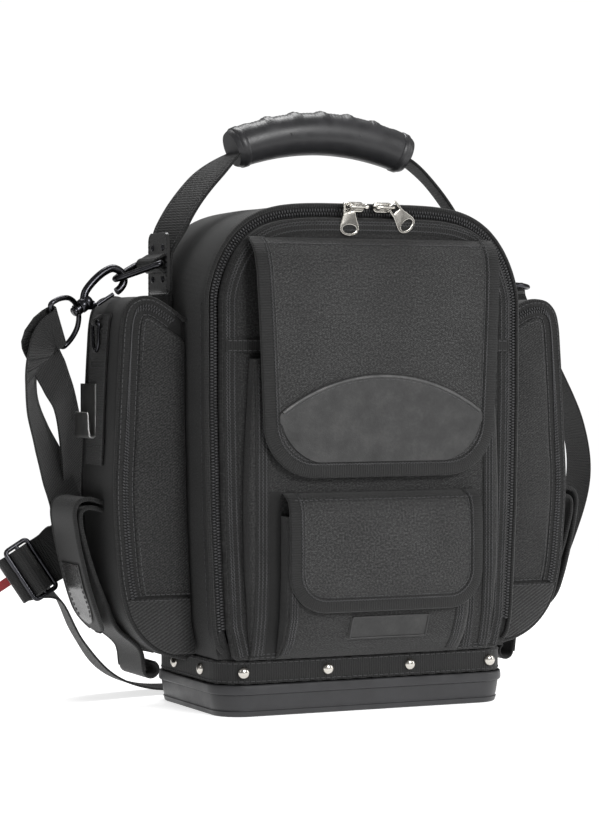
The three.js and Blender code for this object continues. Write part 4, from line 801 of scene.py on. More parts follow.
for name, place, outer, swing in (("left", -0.047, -1, 0), ("right", 0.049, 1, 40)):
    x, reach = place * tray["width"], slider["reach"]
    plate = frontPlate(roundBox(slider["length"] / 2, slider["width"] / 2, slider["round"]), [], 3.0, 0.8,
                       x, slider["back"] - 1.5)
    arm = tube(spline([(x + shift, y, slider["level"]) for shift, y in bridgeRows], 40), 1.15, sides=12)
    knob = turned(knobRows, (x - outer * reach, slider["knob"], slider["level"]), (0, 1, 0), 18)
    lip = frontPlate(roundBox(slider["length"] / 2 - 1.5, 2.0, 1.4), [], 1.2, 0.4, x, slider["lip"])
    piece("zipSlider" + name.title(), joined(plate, arm, knob, lip), "nickel", ["zip_slider_" + name],
          sharp=45)
    low, top = pull["wide"] * 0.36 - pull["length"], pull["bar"] * math.sqrt(2) + 0.3 + pull["side"]
    halfTop, halfLow = pull["narrow"] / 2, pull["wide"] / 2
    flank = [(halfTop - 1.4, top), (halfTop - 0.4, top - 0.4), (halfTop, top - 1.4), (halfTop + 0.2, -6),
             (halfLow - 0.6, low + 3)]
    mirrored = [(-across, up) for across, up in flank]
    edge = mirrored[:1] + flank + oval(0, low, halfLow, halfLow * 0.72, 0, -180, 22) + mirrored[:0:-1]
    eyeHalf, eyeTop, eyeLow = halfTop - pull["side"], top - pull["side"], -3.7
    eye = [(-eyeHalf, eyeTop - 0.5), (-eyeHalf + 0.5, eyeTop), (eyeHalf - 0.5, eyeTop),
           (eyeHalf, eyeTop - 0.5), (eyeHalf, eyeLow + 0.5), (eyeHalf - 0.5, eyeLow),
           (-eyeHalf + 0.5, eyeLow), (-eyeHalf, eyeLow + 0.5)]
    hole = oval(0, low - 0.5, pull["wide"] * 0.36, pull["wide"] * 0.2, 0, 360, 26)
    hanging = frontPlate(edge, [eye, hole], pull["thick"], 0.5, x + outer * reach, pull["plane"],
                         -outer * swing)
    piece("zipPull" + name.title(), hanging, "nickel", ["zip_pull_" + name], body="pull_" + name, sharp=50)
print("main compartment and zip ready")

# Front pockets: shells open at the top, with rounded corners
bigLook = dict(width=200, low=42.3, height=224, depth=12, swell=0.05, cloth=1.8, round=4.5)
smallLook = dict(left=-80, right=73, low=42.3, height=108, depth=13.5, cloth=1.8, round=4.0)
fullRows = [(0, 0.06), (0.05, 0.42), (0.14, 0.8), (0.28, 1), (0.85, 1), (1, 0.92)]


def bigFace(z):
    return face - 0.3 - bigLook["depth"] * lookUp(fullRows, (z - bigLook["low"]) / bigLook["height"])


def smallFace(z):
    level = (z - smallLook["low"]) / smallLook["height"]
    return bigFace(z) - 0.3 - smallLook["depth"] * lookUp(fullRows, level)


def bigHalf(z):
    share = (z - bigLook["low"]) / bigLook["height"]
    return bigLook["width"] / 2 * (1 + bigLook["swell"] * math.sin(math.pi * min(max(share, 0), 1)))


def pocketShell(faceAt, baseAt, leftAt, rightAt, levels, cloth, radius, crown=0.0, across=26):
    rings = []

    def pocketRow(z, cut):
        left, right = leftAt(z) + cut, rightAt(z) - cut
        base, front = baseAt(z), faceAt(z) + cut
        r = min(radius, max(0.05, base - front - 0.05))
        row = [(left, base), (left, mix(base, front + r, 0.5))]
        row += [(left + r * (1 - math.cos(a)), front + r * (1 - math.sin(a)))
                for a in np.linspace(0, math.pi / 2, 6)]
        for s in np.linspace(0, 1, across)[1:-1]:
            level = (z - levels[0]) / (levels[-1] - levels[0])
            puff = crown * (4 * s * (1 - s)) ** 0.7 * math.sin(math.pi * min(max(level, 0), 1)) ** 0.6
            row.append((mix(left + r, right - r, s), front - puff))
        row += [(right - r * (1 - math.sin(a)), front + r * (1 - math.cos(a)))
                for a in np.linspace(0, math.pi / 2, 6)]
        row += [(right, mix(base, front + r, 0.5)), (right, base)]
        return [(x, y, z) for x, y in row]

    for i, z in enumerate(levels):
        outer, inner = pocketRow(z, 0), pocketRow(z, cloth)
        if i in (0, len(levels) - 1):  # the rim closes halfway through the cloth
            centre = [tuple((a + b) / 2 for a, b in zip(p, q)) for p, q in zip(outer, inner)]
            shift = 0.4 if i else -0.4
            rim = [(x, y, z + shift) for x, y, z in centre]
            ring = [outer + inner[::-1], rim + rim[::-1]]
            rings += ring if i else ring[::-1]
        else:
            rings.append(outer + inner[::-1])
    return loft(rings)


levels = np.concatenate([np.linspace(bigLook["low"] + 0.6, 80, 14),
                         np.linspace(84, bigLook["low"] + bigLook["height"] - 0.6, 40)])
bigShell = pocketShell(bigFace, lambda z: face - 0.25, lambda z: -bigHalf(z), bigHalf, levels,
                       bigLook["cloth"], bigLook["round"])
piece("bigPocket", bigShell, "pocketTwill", ["big_pocket"], soft=0.5, softSize=22)
levels = np.concatenate([np.linspace(smallLook["low"] + 0.6, 76, 14),
                         np.linspace(79, smallLook["low"] + smallLook["height"] - 0.6, 22)])
smallShell = pocketShell(smallFace, lambda z: bigFace(z) - 0.25, lambda z: smallLook["left"],
                         lambda z: smallLook["right"], levels, smallLook["cloth"], smallLook["round"],
                         crown=1.0)
piece("smallPocket", smallShell, "pocketTwill", ["small_pocket"], soft=0.5, softSize=20)
onBig, onSmall = onFront(lambda x, z: bigFace(z)), onFront(lambda x, z: smallFace(z))


def column(ground, x, low, high, width, rise=0.8):  # upright binding strip
    return bindingOn(ground, np.array([(x, z) for z in np.linspace(high, low, 40)]), 0, width, rise)


strips = dict(bigLeft=(onBig, -99.8, 46, 262, 10.5), bigRight=(onBig, 90, 46, 262, 9.5),
              smallLeft=(onSmall, -78, 46, 148, 7.5), smallRight=(onSmall, 60, 46, 148, 7.5),
              smallOuter=(onBig, 75.5, 45, 160, 8.5))
for name, (ground, x, low, high, width) in strips.items():
    piece(name + "Binding", column(ground, x, low, high, width), "blackTape")
    for share in (0.22, 0.5, 0.78):
        sewZigzag(ground, np.array([(x + share * width, z) for z in np.linspace(high, low, 30)]), 0, 1.2,
                  0.95, 1.35)
# Dark nylon strip laid on the big pocket: painted shade for the shadowed recess between the big pocket's left
# binding and the small pocket
piece("gussetPaintedShade", column(onBig, -90.5, 44, 168, 10.5, 0.35), "sideNylon")
sewRow(onBig, levelLine(264.5, 94, -94, 60)[::-1], 0, 0.35, 3.0, 1.2)
for level in (44.6, 47.2):
    sewRow(onBig, levelLine(level, -96, 96, 60), 0, 0.3, 3.0, 1.4)

# Woven band across the panel
tapeLook = dict(low=270.4, high=280.4, half=119, thick=1.4)
level = (tapeLook["low"] + tapeLook["high"]) / 2
places = [(x, face - 0.85, level, 0, 0, 5.0) for x in np.linspace(-tapeLook["half"], tapeLook["half"], 90)]
piece("frontTape", band(places, tapeLook["thick"]), "blackTape", ["front_tape"])
for z in (tapeLook["low"] + 1.4, tapeLook["high"] - 1.4):
    sewRow(onPanel, levelLine(z, -117, 117, 80), 0, 1.75, 2.8, 1.2)

# Flaps with wrapped edges, leather half-moon patch and bare label plate
mainLook = dict(top=355.65, drop=177, half=101, taper=8, corner=38, back=-72.9, front=-90.2, thick=3,
                centre=0)
smallFlapLook = dict(top=166.3, drop=87, half=79, taper=0, corner=28, back=None, front=-99.8, thick=2.6,
                     centre=1)
fallRows = [(0, 0), (0.03, 0.42), (0.07, 0.7), (0.14, 0.88), (0.3, 0.96), (0.5, 1), (1, 1)]


def flapParts(look):
    low = look["top"] - look["drop"]
    back = look["back"] if look["back"] is not None else bigFace(look["top"]) - 1.6

    def halfAt(z):
        fall = (look["top"] - z) / look["drop"]
        half, rise = look["half"] - look["taper"] * fall, z - low
        c = look["corner"]
        return half if rise >= c else half - c + math.sqrt(max(0, c * c - (c - rise) ** 2))

    def depth(x, z):
        fall = min(max((look["top"] - z) / look["drop"], 0), 1)
        share = lookUp(fallRows, fall)
        curl = 2.2 * (abs(x - look["centre"]) / look["half"]) ** 4 * fall
        return mix(back, look["front"], share) + look["thick"] / 2 + curl

    turns = np.linspace(0.02, math.pi / 2, 16)
    levels = np.concatenate([low + look["corner"] * (1 - np.cos(turns)),
                             np.linspace(low + look["corner"] + 3, look["top"] - 12, 26),
                             np.linspace(look["top"] - 11, look["top"], 12)])
    left = np.array([(look["centre"] - halfAt(z), z) for z in levels[::-1]])
    right = left[::-1] * (-1, 1) + (2 * look["centre"], 0)
    outline = evenly(np.vstack([left, right]), 240)
    return halfAt, depth, levels, outline


def wrapOn(ground, line, width, thick, rise):  # tape folded round a cloth edge
    w, t, r = width, thick, rise
    return tapeOn(ground, line, [(w, -0.25), (w, 0.6 * r), (0.88 * w, r), (0.5 * w, 1.1 * r), (0.12 * w, r),
                                 (-0.5, 0.6 * r), (-1.1, -0.2 * t), (-1.1, -0.8 * t), (-0.5, -t - 0.6 * r),
                                 (0.12 * w, -t - r), (0.88 * w, -t - r), (w, -t - 0.6 * r), (w, -t + 0.25)])


def flap(name, look, nodeName, width, columns):
    halfAt, depth, levels, outline = flapParts(look)
    ground = onFront(depth)
    c = look["centre"]
    cloth = panelOn(ground, lambda z: c - halfAt(z), lambda z: c + halfAt(z), levels, look["thick"],
                    columns, 1.2, 0.6)
    piece(name, cloth, "flapCloth", [nodeName], soft=0.35, softSize=24)
    top = lambda x, z, lift: ground(x, z, look["thick"] + lift)
    piece(name + "Binding", wrapOn(top, outline, width, look["thick"], 0.75), "blackTape")
    sewZigzag(top, outline, width - 1.6, 1.3, 0.95, 1.3)
    sewRow(top, outline, width + 0.9, 0.3, 1.5, 1.1)
    return halfAt, top


mainHalf, onMain = flap("mainFlap", mainLook, "main_flap", 10.5, 64)
onSmallFlap = flap("smallFlap", smallFlapLook, "small_flap", 9.5, 52)[1]
sewRow(onSmallFlap, levelLine(161.6, -74, 76, 50), 0, 0.7, 2.4, 1.6)
sewRow(onMain, levelLine(351.0, -97, 97, 60), 0, 0.6, 2.6, 1.4)

moon = dict(low=188.2, shoulder=226, crown=254, half=84, thick=1.5)
moonRise = moon["crown"] - moon["shoulder"]
moonRadius = (moon["half"] ** 2 + moonRise ** 2) / (2 * moonRise)


def moonHalf(z):
    reach = mainHalf(z - 9.4) - 9.6 if z < 217 else mainHalf(z) - 9.6
    arc = math.sqrt(max(0, moonRadius ** 2 - max(0, z - (moon["crown"] - moonRadius)) ** 2))
    return max(0.2, min(reach, arc if z > moon["shoulder"] - 2 else reach))


levels = np.concatenate([np.linspace(moon["low"], 200, 12), np.linspace(202, 226, 14),
                         np.linspace(227, moon["crown"] - 0.05, 30)])
piece("flapPatch", planar(panelOn(onMain, lambda z: -moonHalf(z), moonHalf, levels, moon["thick"], 60, 1.4,
                                  0.5), (0, 2)), "leather", ["flap_patch"])
arc = [(x, moon["crown"] - moonRadius + math.sqrt(moonRadius ** 2 - x * x))
       for x in np.linspace(moonHalf(227), -moonHalf(227), 90)]
rim = shrink(np.array(arc), 1.2, False)
piece("flapPatchRim", tube([onMain(x, z, 1.5) for x, z in rim], 1.15, sides=10), "rimLeather")
sewRow(onMain, np.array(arc), 3.6, 1.75, 3.0, 1.5)
plate = dict(centre=5, half=33, low=56.3, high=74.8, thick=1.2)
edges = [lambda z: plate["centre"] - plate["half"], lambda z: plate["centre"] + plate["half"]]
piece("labelPlate", planar(panelOn(onSmall, *edges, np.linspace(plate["low"], plate["high"], 16),
                                   plate["thick"], 40, 1.0), (0, 2)), "labelLeather", ["label_patch"])
frameLine = [(plate["centre"] + x, 65.55 + y) for x, y, z in roundedRing(plate["half"] - 1.2, 8.1, 1.2, 0, 4)]
frameLine = evenly(np.array(frameLine + frameLine[:1]), 160)[:-1]
piece("labelRim", tube([onSmall(x, z, 1.25) for x, z in frameLine], 0.75, closed=True, sides=8),
      "labelLeather")
print("front pockets and flaps ready")

# Side pockets: a rounded tub on each side, its front face with a zip that follows the outer edge
tub = dict(low=39.3, height=273.0, front=-28, back=52, round=12, seam=88, tape=13.0,
           fullness=dict(left=59, right=66), face=0.8, edge=2.4, reach=1.25, plane=-28.55, pitch=1.1,
           tooth=(0.0036, 0.0017, 0.0016))
sideRows = [(0, 0.14), (0.02, 0.46), (0.055, 0.7), (0.117, 0.86), (0.194, 0.95), (0.33, 0.99), (0.4725, 1),
            (0.62, 0.96), (0.729, 0.93), (0.85, 0.9), (0.93, 0.87), (0.968, 0.82), (0.992, 0.72), (1, 0.58),
            (0.998, 0.45), (0.975, 0.24), (0.945, 0.04)]


def innerAt(z):
    return 0.3 + max(bodyHalf(z), halfTray)


def tubPoint(side, level, out):
    z = tub["low"] + level * tub["height"]
    return innerAt(z) + out * tub["fullness"][side], z


def sideOuter(side, z):
    level = (z - tub["low"]) / tub["height"]
    return tubPoint(side, level, lookUp(sideRows[:14], level))[0]


def tubEdge(side, count=200):  # open line over the outside and the top, run on a little into the body
    rows = sideRows + [(0.925, -0.12), (0.90, -0.28)]
    return spline([tubPoint(side, *row) for row in rows], count)


def tubLine(side, count=170):
    outside = spline([tubPoint(side, *row) for row in sideRows], 120)
    inside = [(innerAt(z), z) for z in np.linspace(outside[-1, 1] - 2, outside[0, 1] + 1, 30)]
    return evenly(np.vstack([outside, inside]), count, closed=True)


# Where a level meets the pocket's front: its place by the body and its place at an edge line
def sideSpan(run, z):
    a, b = run[:-1], run[1:]
    hit = (a[:, 1] - z) * (b[:, 1] - z) <= 0
    fall = b[hit, 1] - a[hit, 1]
    fall = np.where(np.abs(fall) < 1e-9, 1e-9, fall)
    met = sorted(a[hit, 0] + (b[hit, 0] - a[hit, 0]) * (z - a[hit, 1]) / fall)
    inner = innerAt(z) + 1.2
    if not met:
        return inner, inner + 0.4
    low = met[0] if len(met) > 1 and met[0] > inner and z > 240 else inner
    return low, max(met[-1], low + 0.4)


def sidePanel(sign, run, levels, crown):
    ends = lambda z: sorted(sign * x for x in sideSpan(run, z))
    return planar(panelOn(onTub, lambda z: ends(z)[0], lambda z: ends(z)[1], levels, 1.5, 30, 2.4, crown),
                  (0, 2))


onTub, onCover = onFront(lambda x, z: tub["front"] + tub["face"]), onFront(lambda x, z: tub["front"] - 0.15)
bothSides = dict(left=-1, right=1)
for side, sign in bothSides.items():
    name, line, edge = side.title(), tubLine(side), tubEdge(side)
    faceAt = tub["front"] + tub["face"]
    rows = [(faceAt, 17), (faceAt, 8)]
    rows += [(faceAt + 5 * (1 - math.sin(a)), 5 * (1 - math.cos(a))) for a in np.linspace(math.pi / 2, 0, 8)]
    rows += [(y, 0) for y in np.linspace(tub["front"] + 9, tub["back"] - 14, 10)]
    rows += rounding(tub["back"], 0, tub["round"], 1, 8) + [(tub["back"], 18)]
    rings = [ring * (sign, 1, 1) for ring in upright(line, rows)]
    piece("sidePocket" + name, capped(rings), "sideNylon", ["side_pocket_" + side], soft=0.8, softSize=22)
    wholeFront = insetLine(edge, tub["edge"], closed=False)
    besideZip = insetLine(edge, tub["tape"] + 1.6, closed=False)
    peak = besideZip[:, 1].max()
    levels = np.linspace(tub["seam"] + 0.6, peak - 16, 46)
    levels = np.concatenate([levels, peak - 15.5 * (1 - np.sin(np.linspace(0.03, math.pi / 2 - 0.02, 22)))])
    piece("sideCover" + name, sidePanel(sign, besideZip, levels, 3.6), "sideTwill", ["side_cover_" + side],
          soft=0.6, softSize=20)
    levels = np.linspace(tub["low"] + 5, tub["seam"] - 0.6, 26)
    piece("sideFoot" + name, sidePanel(sign, wholeFront, levels, 1.6), "boldTwill", soft=0.4, softSize=18)
    middleLine = insetLine(edge, 2.0 + tub["tape"] / 2, closed=False)
    keep = (middleLine[:, 1] > tub["seam"]) & (middleLine[:, 0] > innerAt(300) + 1.5)
    track = spline(middleLine[keep][::6], 160)
    outward, half = sidesOf(track), tub["tape"] / 2
    tapeRows = [(p[0] * sign, tub["front"] + 0.35, p[1], n[0] * sign * half, 0, n[1] * half)
                for p, n in zip(track, outward)]
    piece("sideTape" + name, band(tapeRows, 1.0, edge=0.3), "zipTape", ["side_zip_" + side])
    count = int(lineLength(track) / tub["pitch"])
    teeth("sideChain" + name, evenly(track, count), evenly(outward, count), sign, tub, 5)
    for shift, lift in ((1.0 - half, 0.35), (half - 1.0, 0.35), (half + 2.6, 1.4)):
        sewRow(onCover, (track + outward * shift) * (sign, 1), 0, lift, 2.5, 1.2)
    for z, run in ((tub["seam"] + 2.0, besideZip), (tub["seam"] - 2.2, wholeFront)):
        low, high = sideSpan(run, z)
        sewRow(onCover, np.array([(sign * x, z) for x in np.linspace(low + 1, high - 2, 16)]), 0, 1.2, 2.5,
               1.2)
    for place, inset, radius, y in (("F", 1.4, 1.55, tub["front"] + 2.2), ("B", 0.4, 1.3, tub["back"] - 12)):
        rim = insetLine(edge, inset, closed=False)
        rim = rim[rim[:, 0] > innerAt(200) - 6]
        piece("sidePiping" + name + place, tube(evenly(standing(rim, y, sign), 220), radius, sides=9),
              "blackTape")
print("side pockets ready")

# Left pocket's outside: webbing column, small ring and folded steel clip
lineUp = dict(y=12, keeper=34, clipY=26.4, clip=32, clipTop=246.7, clipHeight=38, throat=5)
levels = np.linspace(299, 186, 44)
places = [(-(sideOuter("left", z) + 1.3), lineUp["y"], z, 0, lineUp["keeper"] / 2, 0) for z in levels]
keeperBand = band(places, 1.6)
ringLook = dict(x=-188.9, level=282.27, wide=6, tall=11, wire=1.3, foldWide=3.4, foldRound=2.4, foldX=-184.6)
ringX, ringTop = ringLook["x"], ringLook["level"] + ringLook["tall"]
turns, size = np.radians(90 - 30 * np.arange(7)), ringLook["foldRound"]
fold = [(ringX - size * math.cos(a), lineUp["y"], ringTop + size * math.sin(a)) for a in turns]
fold = [(ringLook["foldX"], lineUp["y"], ringTop + 5), *fold, (ringLook["foldX"], lineUp["y"], ringTop - 5)]
foldBand = band([(*p, 0, ringLook["foldWide"], 0) for p in fold], 1.4)
piece("ringKeeper", joined(keeperBand, foldBand), "blackTape", ["ring_keeper"])
onOuter = onSide(-1, lambda y, z: sideOuter("left", z) + 2.1)
for y in (-3.4, 27.4):
    sewRow(onOuter, np.array([(y, z) for z in levels[::-1]]), 0, 0.15, 2.6, 1.2)
for z in (262, 259, 200):
    sewRow(onOuter, np.array([(y, z) for y in np.linspace(-3, 27, 8)]), 0, 0.15, 2.4, 1.0)
ringRows = [(-0.8, 1), (0, 1), (0.8, 1), (1, 0.84), (1, 0.1), (0.72, -0.72), (0, -1), (-0.72, -0.72),
            (-1, 0.1), (-1, 0.84)]
line = [(ringX, lineUp["y"] + ringLook["wide"] * across, ringLook["level"] + ringLook["tall"] * up)
        for across, up in ringRows]
piece("smallRing", tube(spline(line, 60, closed=True), ringLook["wire"], closed=True, sides=12),
      "blackNickel", ["small_ring"])
clipX = -(sideOuter("left", tub["low"] + 0.62 * tub["height"]) + 1.5)
low = lineUp["clipTop"] - lineUp["clipHeight"]
line = [(clipX, z) for z in np.linspace(lineUp["clipTop"], low, 14)]
bend = lineUp["throat"] / 2
line += [(clipX - bend * (1 - math.cos(a)), low - bend * math.sin(a)) for a in np.linspace(0.3, math.pi, 9)]
foldX = clipX - lineUp["throat"]
line += [(foldX, low + 5), (foldX, low + 14), (foldX - 0.6, low + 16.5)]
width = [lineUp["clip"] / 2] * 14 + [lineUp["clip"] / 2 - 0.4] * 9 + [13.5, 13.0, 12.6]
piece("tapeClip", band([(x, lineUp["clipY"], z, 0, w, 0) for (x, z), w in zip(line, width)], 1.2, edge=0.3),
      "steel", ["tape_clip"])

# Tool sheaths: an outer panel that rolls under, a curved flap over it, a leather patch
sheathLook = dict(width=50, height=128, reach=23, thick=2.4, y=20, top=156.69, roll=6, edge=1.7)
patchLook = dict(height=46, half=18, round=17, low=0.71, thick=1.4, lift=1.9)
panelRows = [(0.03, 0.035), (0.5, 0.015), (0.76, 0.035), (0.82, 0.1), (0.72, 0.22), (0.52, 0.4),
             (0.3, 0.58), (0.28, 0.72), (0.3, 0.86)]
coverRows = [(0.03, -0.01), (0.5, -0.035), (0.84, -0.02), (1, 0.03), (0.97, 0.17), (0.86, 0.34),
             (0.72, 0.52), (0.66, 0.66), (0.66, 0.76)]


def sheathPoint(side, sign, out, fall, lift=0.0):
    z = sheathLook["top"] - fall * sheathLook["height"]
    return sign * (sideOuter(side, z) + out * sheathLook["reach"] + lift), z


def sheathBand(line, halfAt):
    return band([(x, sheathLook["y"], z, 0, halfAt(z), 0) for x, z in line], sheathLook["thick"], edge=0.8)


for side, sign in bothSides.items():
    name, half = side.title(), sheathLook["width"] / 2
    start = sheathPoint(side, sign, *panelRows[-1])
    middle = (start[0] - sign * 9, start[1] - 15)
    line = [sheathPoint(side, sign, *row) for row in panelRows]
    roll = sheathLook["roll"]
    line += [(middle[0] + sign * roll * math.cos(a), middle[1] + roll * math.sin(a))
             for a in np.radians(-40 * np.arange(7))]
    line = spline([(x, 0, z) for x, z in line], 90)[:, [0, 2]]
    piece("sheathPanel" + name, sheathBand(line, lambda z: half), "sheathNylon", ["sheath_panel_" + side],
          soft=0.3, softSize=16)
    low = sheathLook["top"] - coverRows[-1][1] * sheathLook["height"]

    def coverHalf(z, low=low):
        rise = max(0.0, z - low)
        c = half - 2
        return half if rise >= c else max(4, half - c + math.sqrt(max(0, c * c - (c - rise) ** 2)))

    cover = spline([(x, 0, z) for x, z in [sheathPoint(side, sign, *row) for row in coverRows]],
                   80)[:, [0, 2]]
    piece("sheathFlap" + name, sheathBand(cover, coverHalf), "sheathNylon", ["sheath_flap_" + side],
          soft=0.3, softSize=16)
    for edgeName, run, halfOf in (("Panel", line[:78], lambda z: half), ("Flap", cover[:78], coverHalf)):
        for front in (-1, 1):
            rim = [(x, sheathLook["y"] + front * (halfOf(z) - 0.4), z) for x, z in run]
            piece("sheath%sEdge%s%s" % (edgeName, name, "AB"[front > 0]),
                  tube(rim, sheathLook["edge"], sides=9), "blackTape")
    end = [(x, z) for x, z in cover if z < low + 0.4][-1:] or [tuple(cover[-1])]
    lip = tube([(end[0][0], sheathLook["y"] + y, end[0][1] + 0.3) for y in (-4, 0, 4)], sheathLook["edge"],
               sides=9)
    piece("sheathFlapTip" + name, lip, "blackTape")
    last = patchLook["low"]
    first, c = last - patchLook["height"] / sheathLook["height"], patchLook["round"]
    rows = []
    for share in np.linspace(0, 1, 30):
        fall = mix(first, last, share)
        out = float(np.interp(fall, [r[1] for r in coverRows[3:]], [r[0] for r in coverRows[3:]]))
        x, z = sheathPoint(side, sign, out, fall, patchLook["lift"])
        rise = (1 - share) * patchLook["height"]
        width = patchLook["half"] if rise >= c else max(2, 1 + math.sqrt(max(0, c * c - (c - rise) ** 2)))
        rows.append((x, sheathLook["y"], z, 0, width, 0))
    piece("sheathPatch" + name, band(rows, patchLook["thick"], edge=0.6), "glossLeather",
          ["sheath_patch_" + side])
    for front in (-1, 1):
        line = np.array([(x + sign * 0.75, y + front * (width - 2.4), z)
                         for x, y, z, a, width, b in rows[:-3]])
        sewAlong(line, np.tile((sign, 0, 0), (len(line), 1)), 2.6, 1.4)
print("sheaths and side details ready")

# Top handle: webbing from side to side, with a moulded grip
handleRows = [(1, 0), (1, 0.08), (1, 0.24), (0.994, 0.352), (0.95, 0.483), (0.861, 0.65), (0.709, 0.842),
              (0.576, 0.956), (0.453, 1.017)]
handle = dict(y=18, low=303.4, high=425.85, half=133.0, width=38, gathered=20, twist=18, sag=15)
left = [(-out * handle["half"], handle["y"], mix(handle["low"], handle["high"], up))
        for out, up in handleRows]
route = left + [(0, handle["y"], handle["high"] + handle["sag"])] + [(-x, y, z) for x, y, z in left[::-1]]
route = [(*p, i / 18) for i, p in enumerate(route)]


def smooth(t, low, high):
    share = min(max((t - low) / (high - low), 0), 1)
    return share * share * (3 - 2 * share)


def handlePlace(x, y, z, t, spread=0.0):
    near = min(t, 1 - t)
    sign = -1 if t < 0.5 else 1
    turn = math.radians(handle["twist"]) * smooth(near, 0.145, 0.234)
    gathered = smooth(near, 0.32, 0.444)
    half = mix(handle["width"], handle["gathered"], gathered) / 2 + spread
    across = unit((sign * math.sin(turn) * (1 - gathered), math.cos(turn), 0)) * half
    return (x, y, z, *across)


run = spline(route, 200)
places = [handlePlace(*row) for row in run]
piece("handleWebbing", band(places, 2.4, edge=0.6), "strapTape", ["handle_webbing"])
data = np.array(places)
for part in (data[:62], data[-62:]):
    along = np.gradient(part[:, :3], axis=0)
    lift = np.cross(along, part[:, 3:])
    lift = np.array([unit(v) for v in lift])
    lift *= np.sign(np.dot(lift[30], part[30, :3] - (0, handle["y"], 330)))
    for share in (-0.78, 0.78):
        sewAlong(part[:, :3] + part[:, 3:] * share + lift * 1.25, lift, 2.8, 1.3)

grip = dict(length=150, height=34, depth=32, sag=15, ridges=5, ridge=1.6)


def gripRing(x, sides=44, grow=0.0):
    t = x / (grip["length"] / 2)
    end = max(0, abs(t) - 0.93) / 0.07
    size = 1 - 0.1 * t * t - 0.10 * end * end
    tilt = math.atan(2 * grip["sag"] * 2 * t / grip["length"])
    centre = np.array((x, handle["y"], handle["high"] + grip["sag"] * (1 - t * t)))
    zone = smooth(0.80 - abs(t), 0, 0.07)
    wave = max(0, math.cos(t * math.pi * (grip["ridges"] + 2))) ** 1.6
    fine = 0.16 * math.cos(t * math.pi * 56) * zone
    ring = []
    for j in range(sides):
        turn = j / sides * 2 * math.pi
        across, up = math.cos(turn), math.sin(turn)
        top = max(0, up) ** 2.2
        lift = top * zone * (grip["ridge"] * (wave if abs(t) < 0.74 else 0) - 0.9 + fine) + grow
        rise = up * (grip["height"] / 2) * size + lift * up
        side = across * (grip["depth"] / 2) * size + grow * across
        ring.append(centre + (math.sin(tilt) * rise, side, math.cos(tilt) * rise))
    return ring


half = grip["length"] / 2
rings = [gripRing(x) for x in np.concatenate([np.linspace(-half, -half + 6, 8),
                                              np.linspace(-half + 6.5, half - 6.5, 240),
                                              np.linspace(half - 6, half, 8)])]
piece("grip", capped(rings), "gripRubber", ["grip"], sharp=50)
for sign in (-1, 1):
    rings = [gripRing(sign * (half - x), 44, g) for x, g in ((9, 0.0), (8.2, 0.7), (4.2, 0.7), (3.4, 0.0))]
    piece("gripCollar" + "LR"[sign > 0], loft(rings), "gripRubber", sharp=50)
holes = [((x, handle["y"] - grip["depth"] / 2 + 0.6, z), (math.pi / 2, 0, 0))
         for x, z in ((-31, 438.5), (28, 439))]
scatter("gripHoles", "toothResin", (0.0013, 0.0013, 0.0007), holes, "plastic", **still)
print("handle ready")

# Chapes, ring holders, side rings and snap hooks
handleGap = 3.0
chape = dict(level=337.716, half=20, tall=47, thick=2.0, round=7, capY=10, capZ=12)
holder = dict(x=142.5, bend=3.7, lap=4.8, rise=6.5, half=18, thick=1.8)
sideRing = dict(reach=28, fall=12, half=24.5, wire=2.5)
hook = dict(length=50, width=22, wire=3.0, gate=1.5, ear=2.64)
strapRing = dict(half=23, wire=2.0)
shoulderHalf = bodyHalf(body["spring"])
bowRows = [(0.8, 0.12), (0.7, 0.3), (0.5, 0.42), (0.25, 0.44), (0.1, 0.34), (0.03, 0.05), (0.08, -0.25),
           (0.2, -0.36), (0.27, -0.36)]
barrelRows = [(3.4, 0.70), (4.6, 0.715), (5.3, 0.74), (5.3, 0.80), (4.9, 0.81), (5.3, 0.82), (5.3, 0.90),
              (4.4, 0.92)]
postRows = [(2.2, 0.85), (2.2, 1.0), (2.2, 1.012), (3.8, 1.014), (3.8, 1.04), (3.0, 1.056)]
bossRows = [(3.9, -2.0), (4.6, -1.5), (4.6, 1.5), (3.9, 2.0), (2.55, 2.0), (2.5, 0), (2.55, -2.0)]
sideRingRows = [(0, -0.86), (0, -0.4), (0, 0), (0, 0.4), (0, 0.86), (0.08, 0.98), (0.3, 0.82), (0.62, 0.52),
                (0.9, 0.2), (1, 0), (0.9, -0.2), (0.62, -0.52), (0.3, -0.82), (0.08, -0.98)]
strapRingRows = [(0, 0), (0.02, 0.3), (0.22, 0.7), (0.6, 0.95), (0.95, 1), (1, 0.92), (1, 0.45), (1, 0),
                 (1, -0.45), (1, -0.92), (0.95, -1), (0.6, -0.95), (0.22, -0.7), (0.02, -0.3)]
hookFrames = dict(
    left=dict(origin=(-163.804, 18.848, 330.547), a=(-0.807, -0.102, -0.582), b=(-0.585, 0.002, 0.811),
              c=(-0.082, 0.995, -0.061), pivot=(-186.563, 15.465, 305.988), nose=(-172.883, 17.097, 314.23)),
    right=dict(origin=(155.013, 24.054, 331.112), a=(0.584, 0.805, -0.101), b=(-0.007, 0.129, 0.992),
               c=(0.812, -0.578, 0.081), pivot=(174.332, 49.783, 321.244), nose=(164.997, 36.725, 321.547)),
)
strapRings = dict(
    left=dict(post=(-202.728, 13.92, 302.463), bar=(0.422, 0.589, -0.689), normal=(0.413, -0.802, -0.432),
              end=(-220.476, 11.674, 289.658)),
    right=dict(post=(183.19, 62.92, 326.254), bar=(-0.81, 0.587, -0.001), normal=(0.059, 0.082, 0.995),
               end=(196.038, 80.64, 324.038)),
)
hookFrames, strapRings = [
    {side: {key: np.array(value) for key, value in look.items()} for side, look in table.items()}
    for table in (hookFrames, strapRings)
]
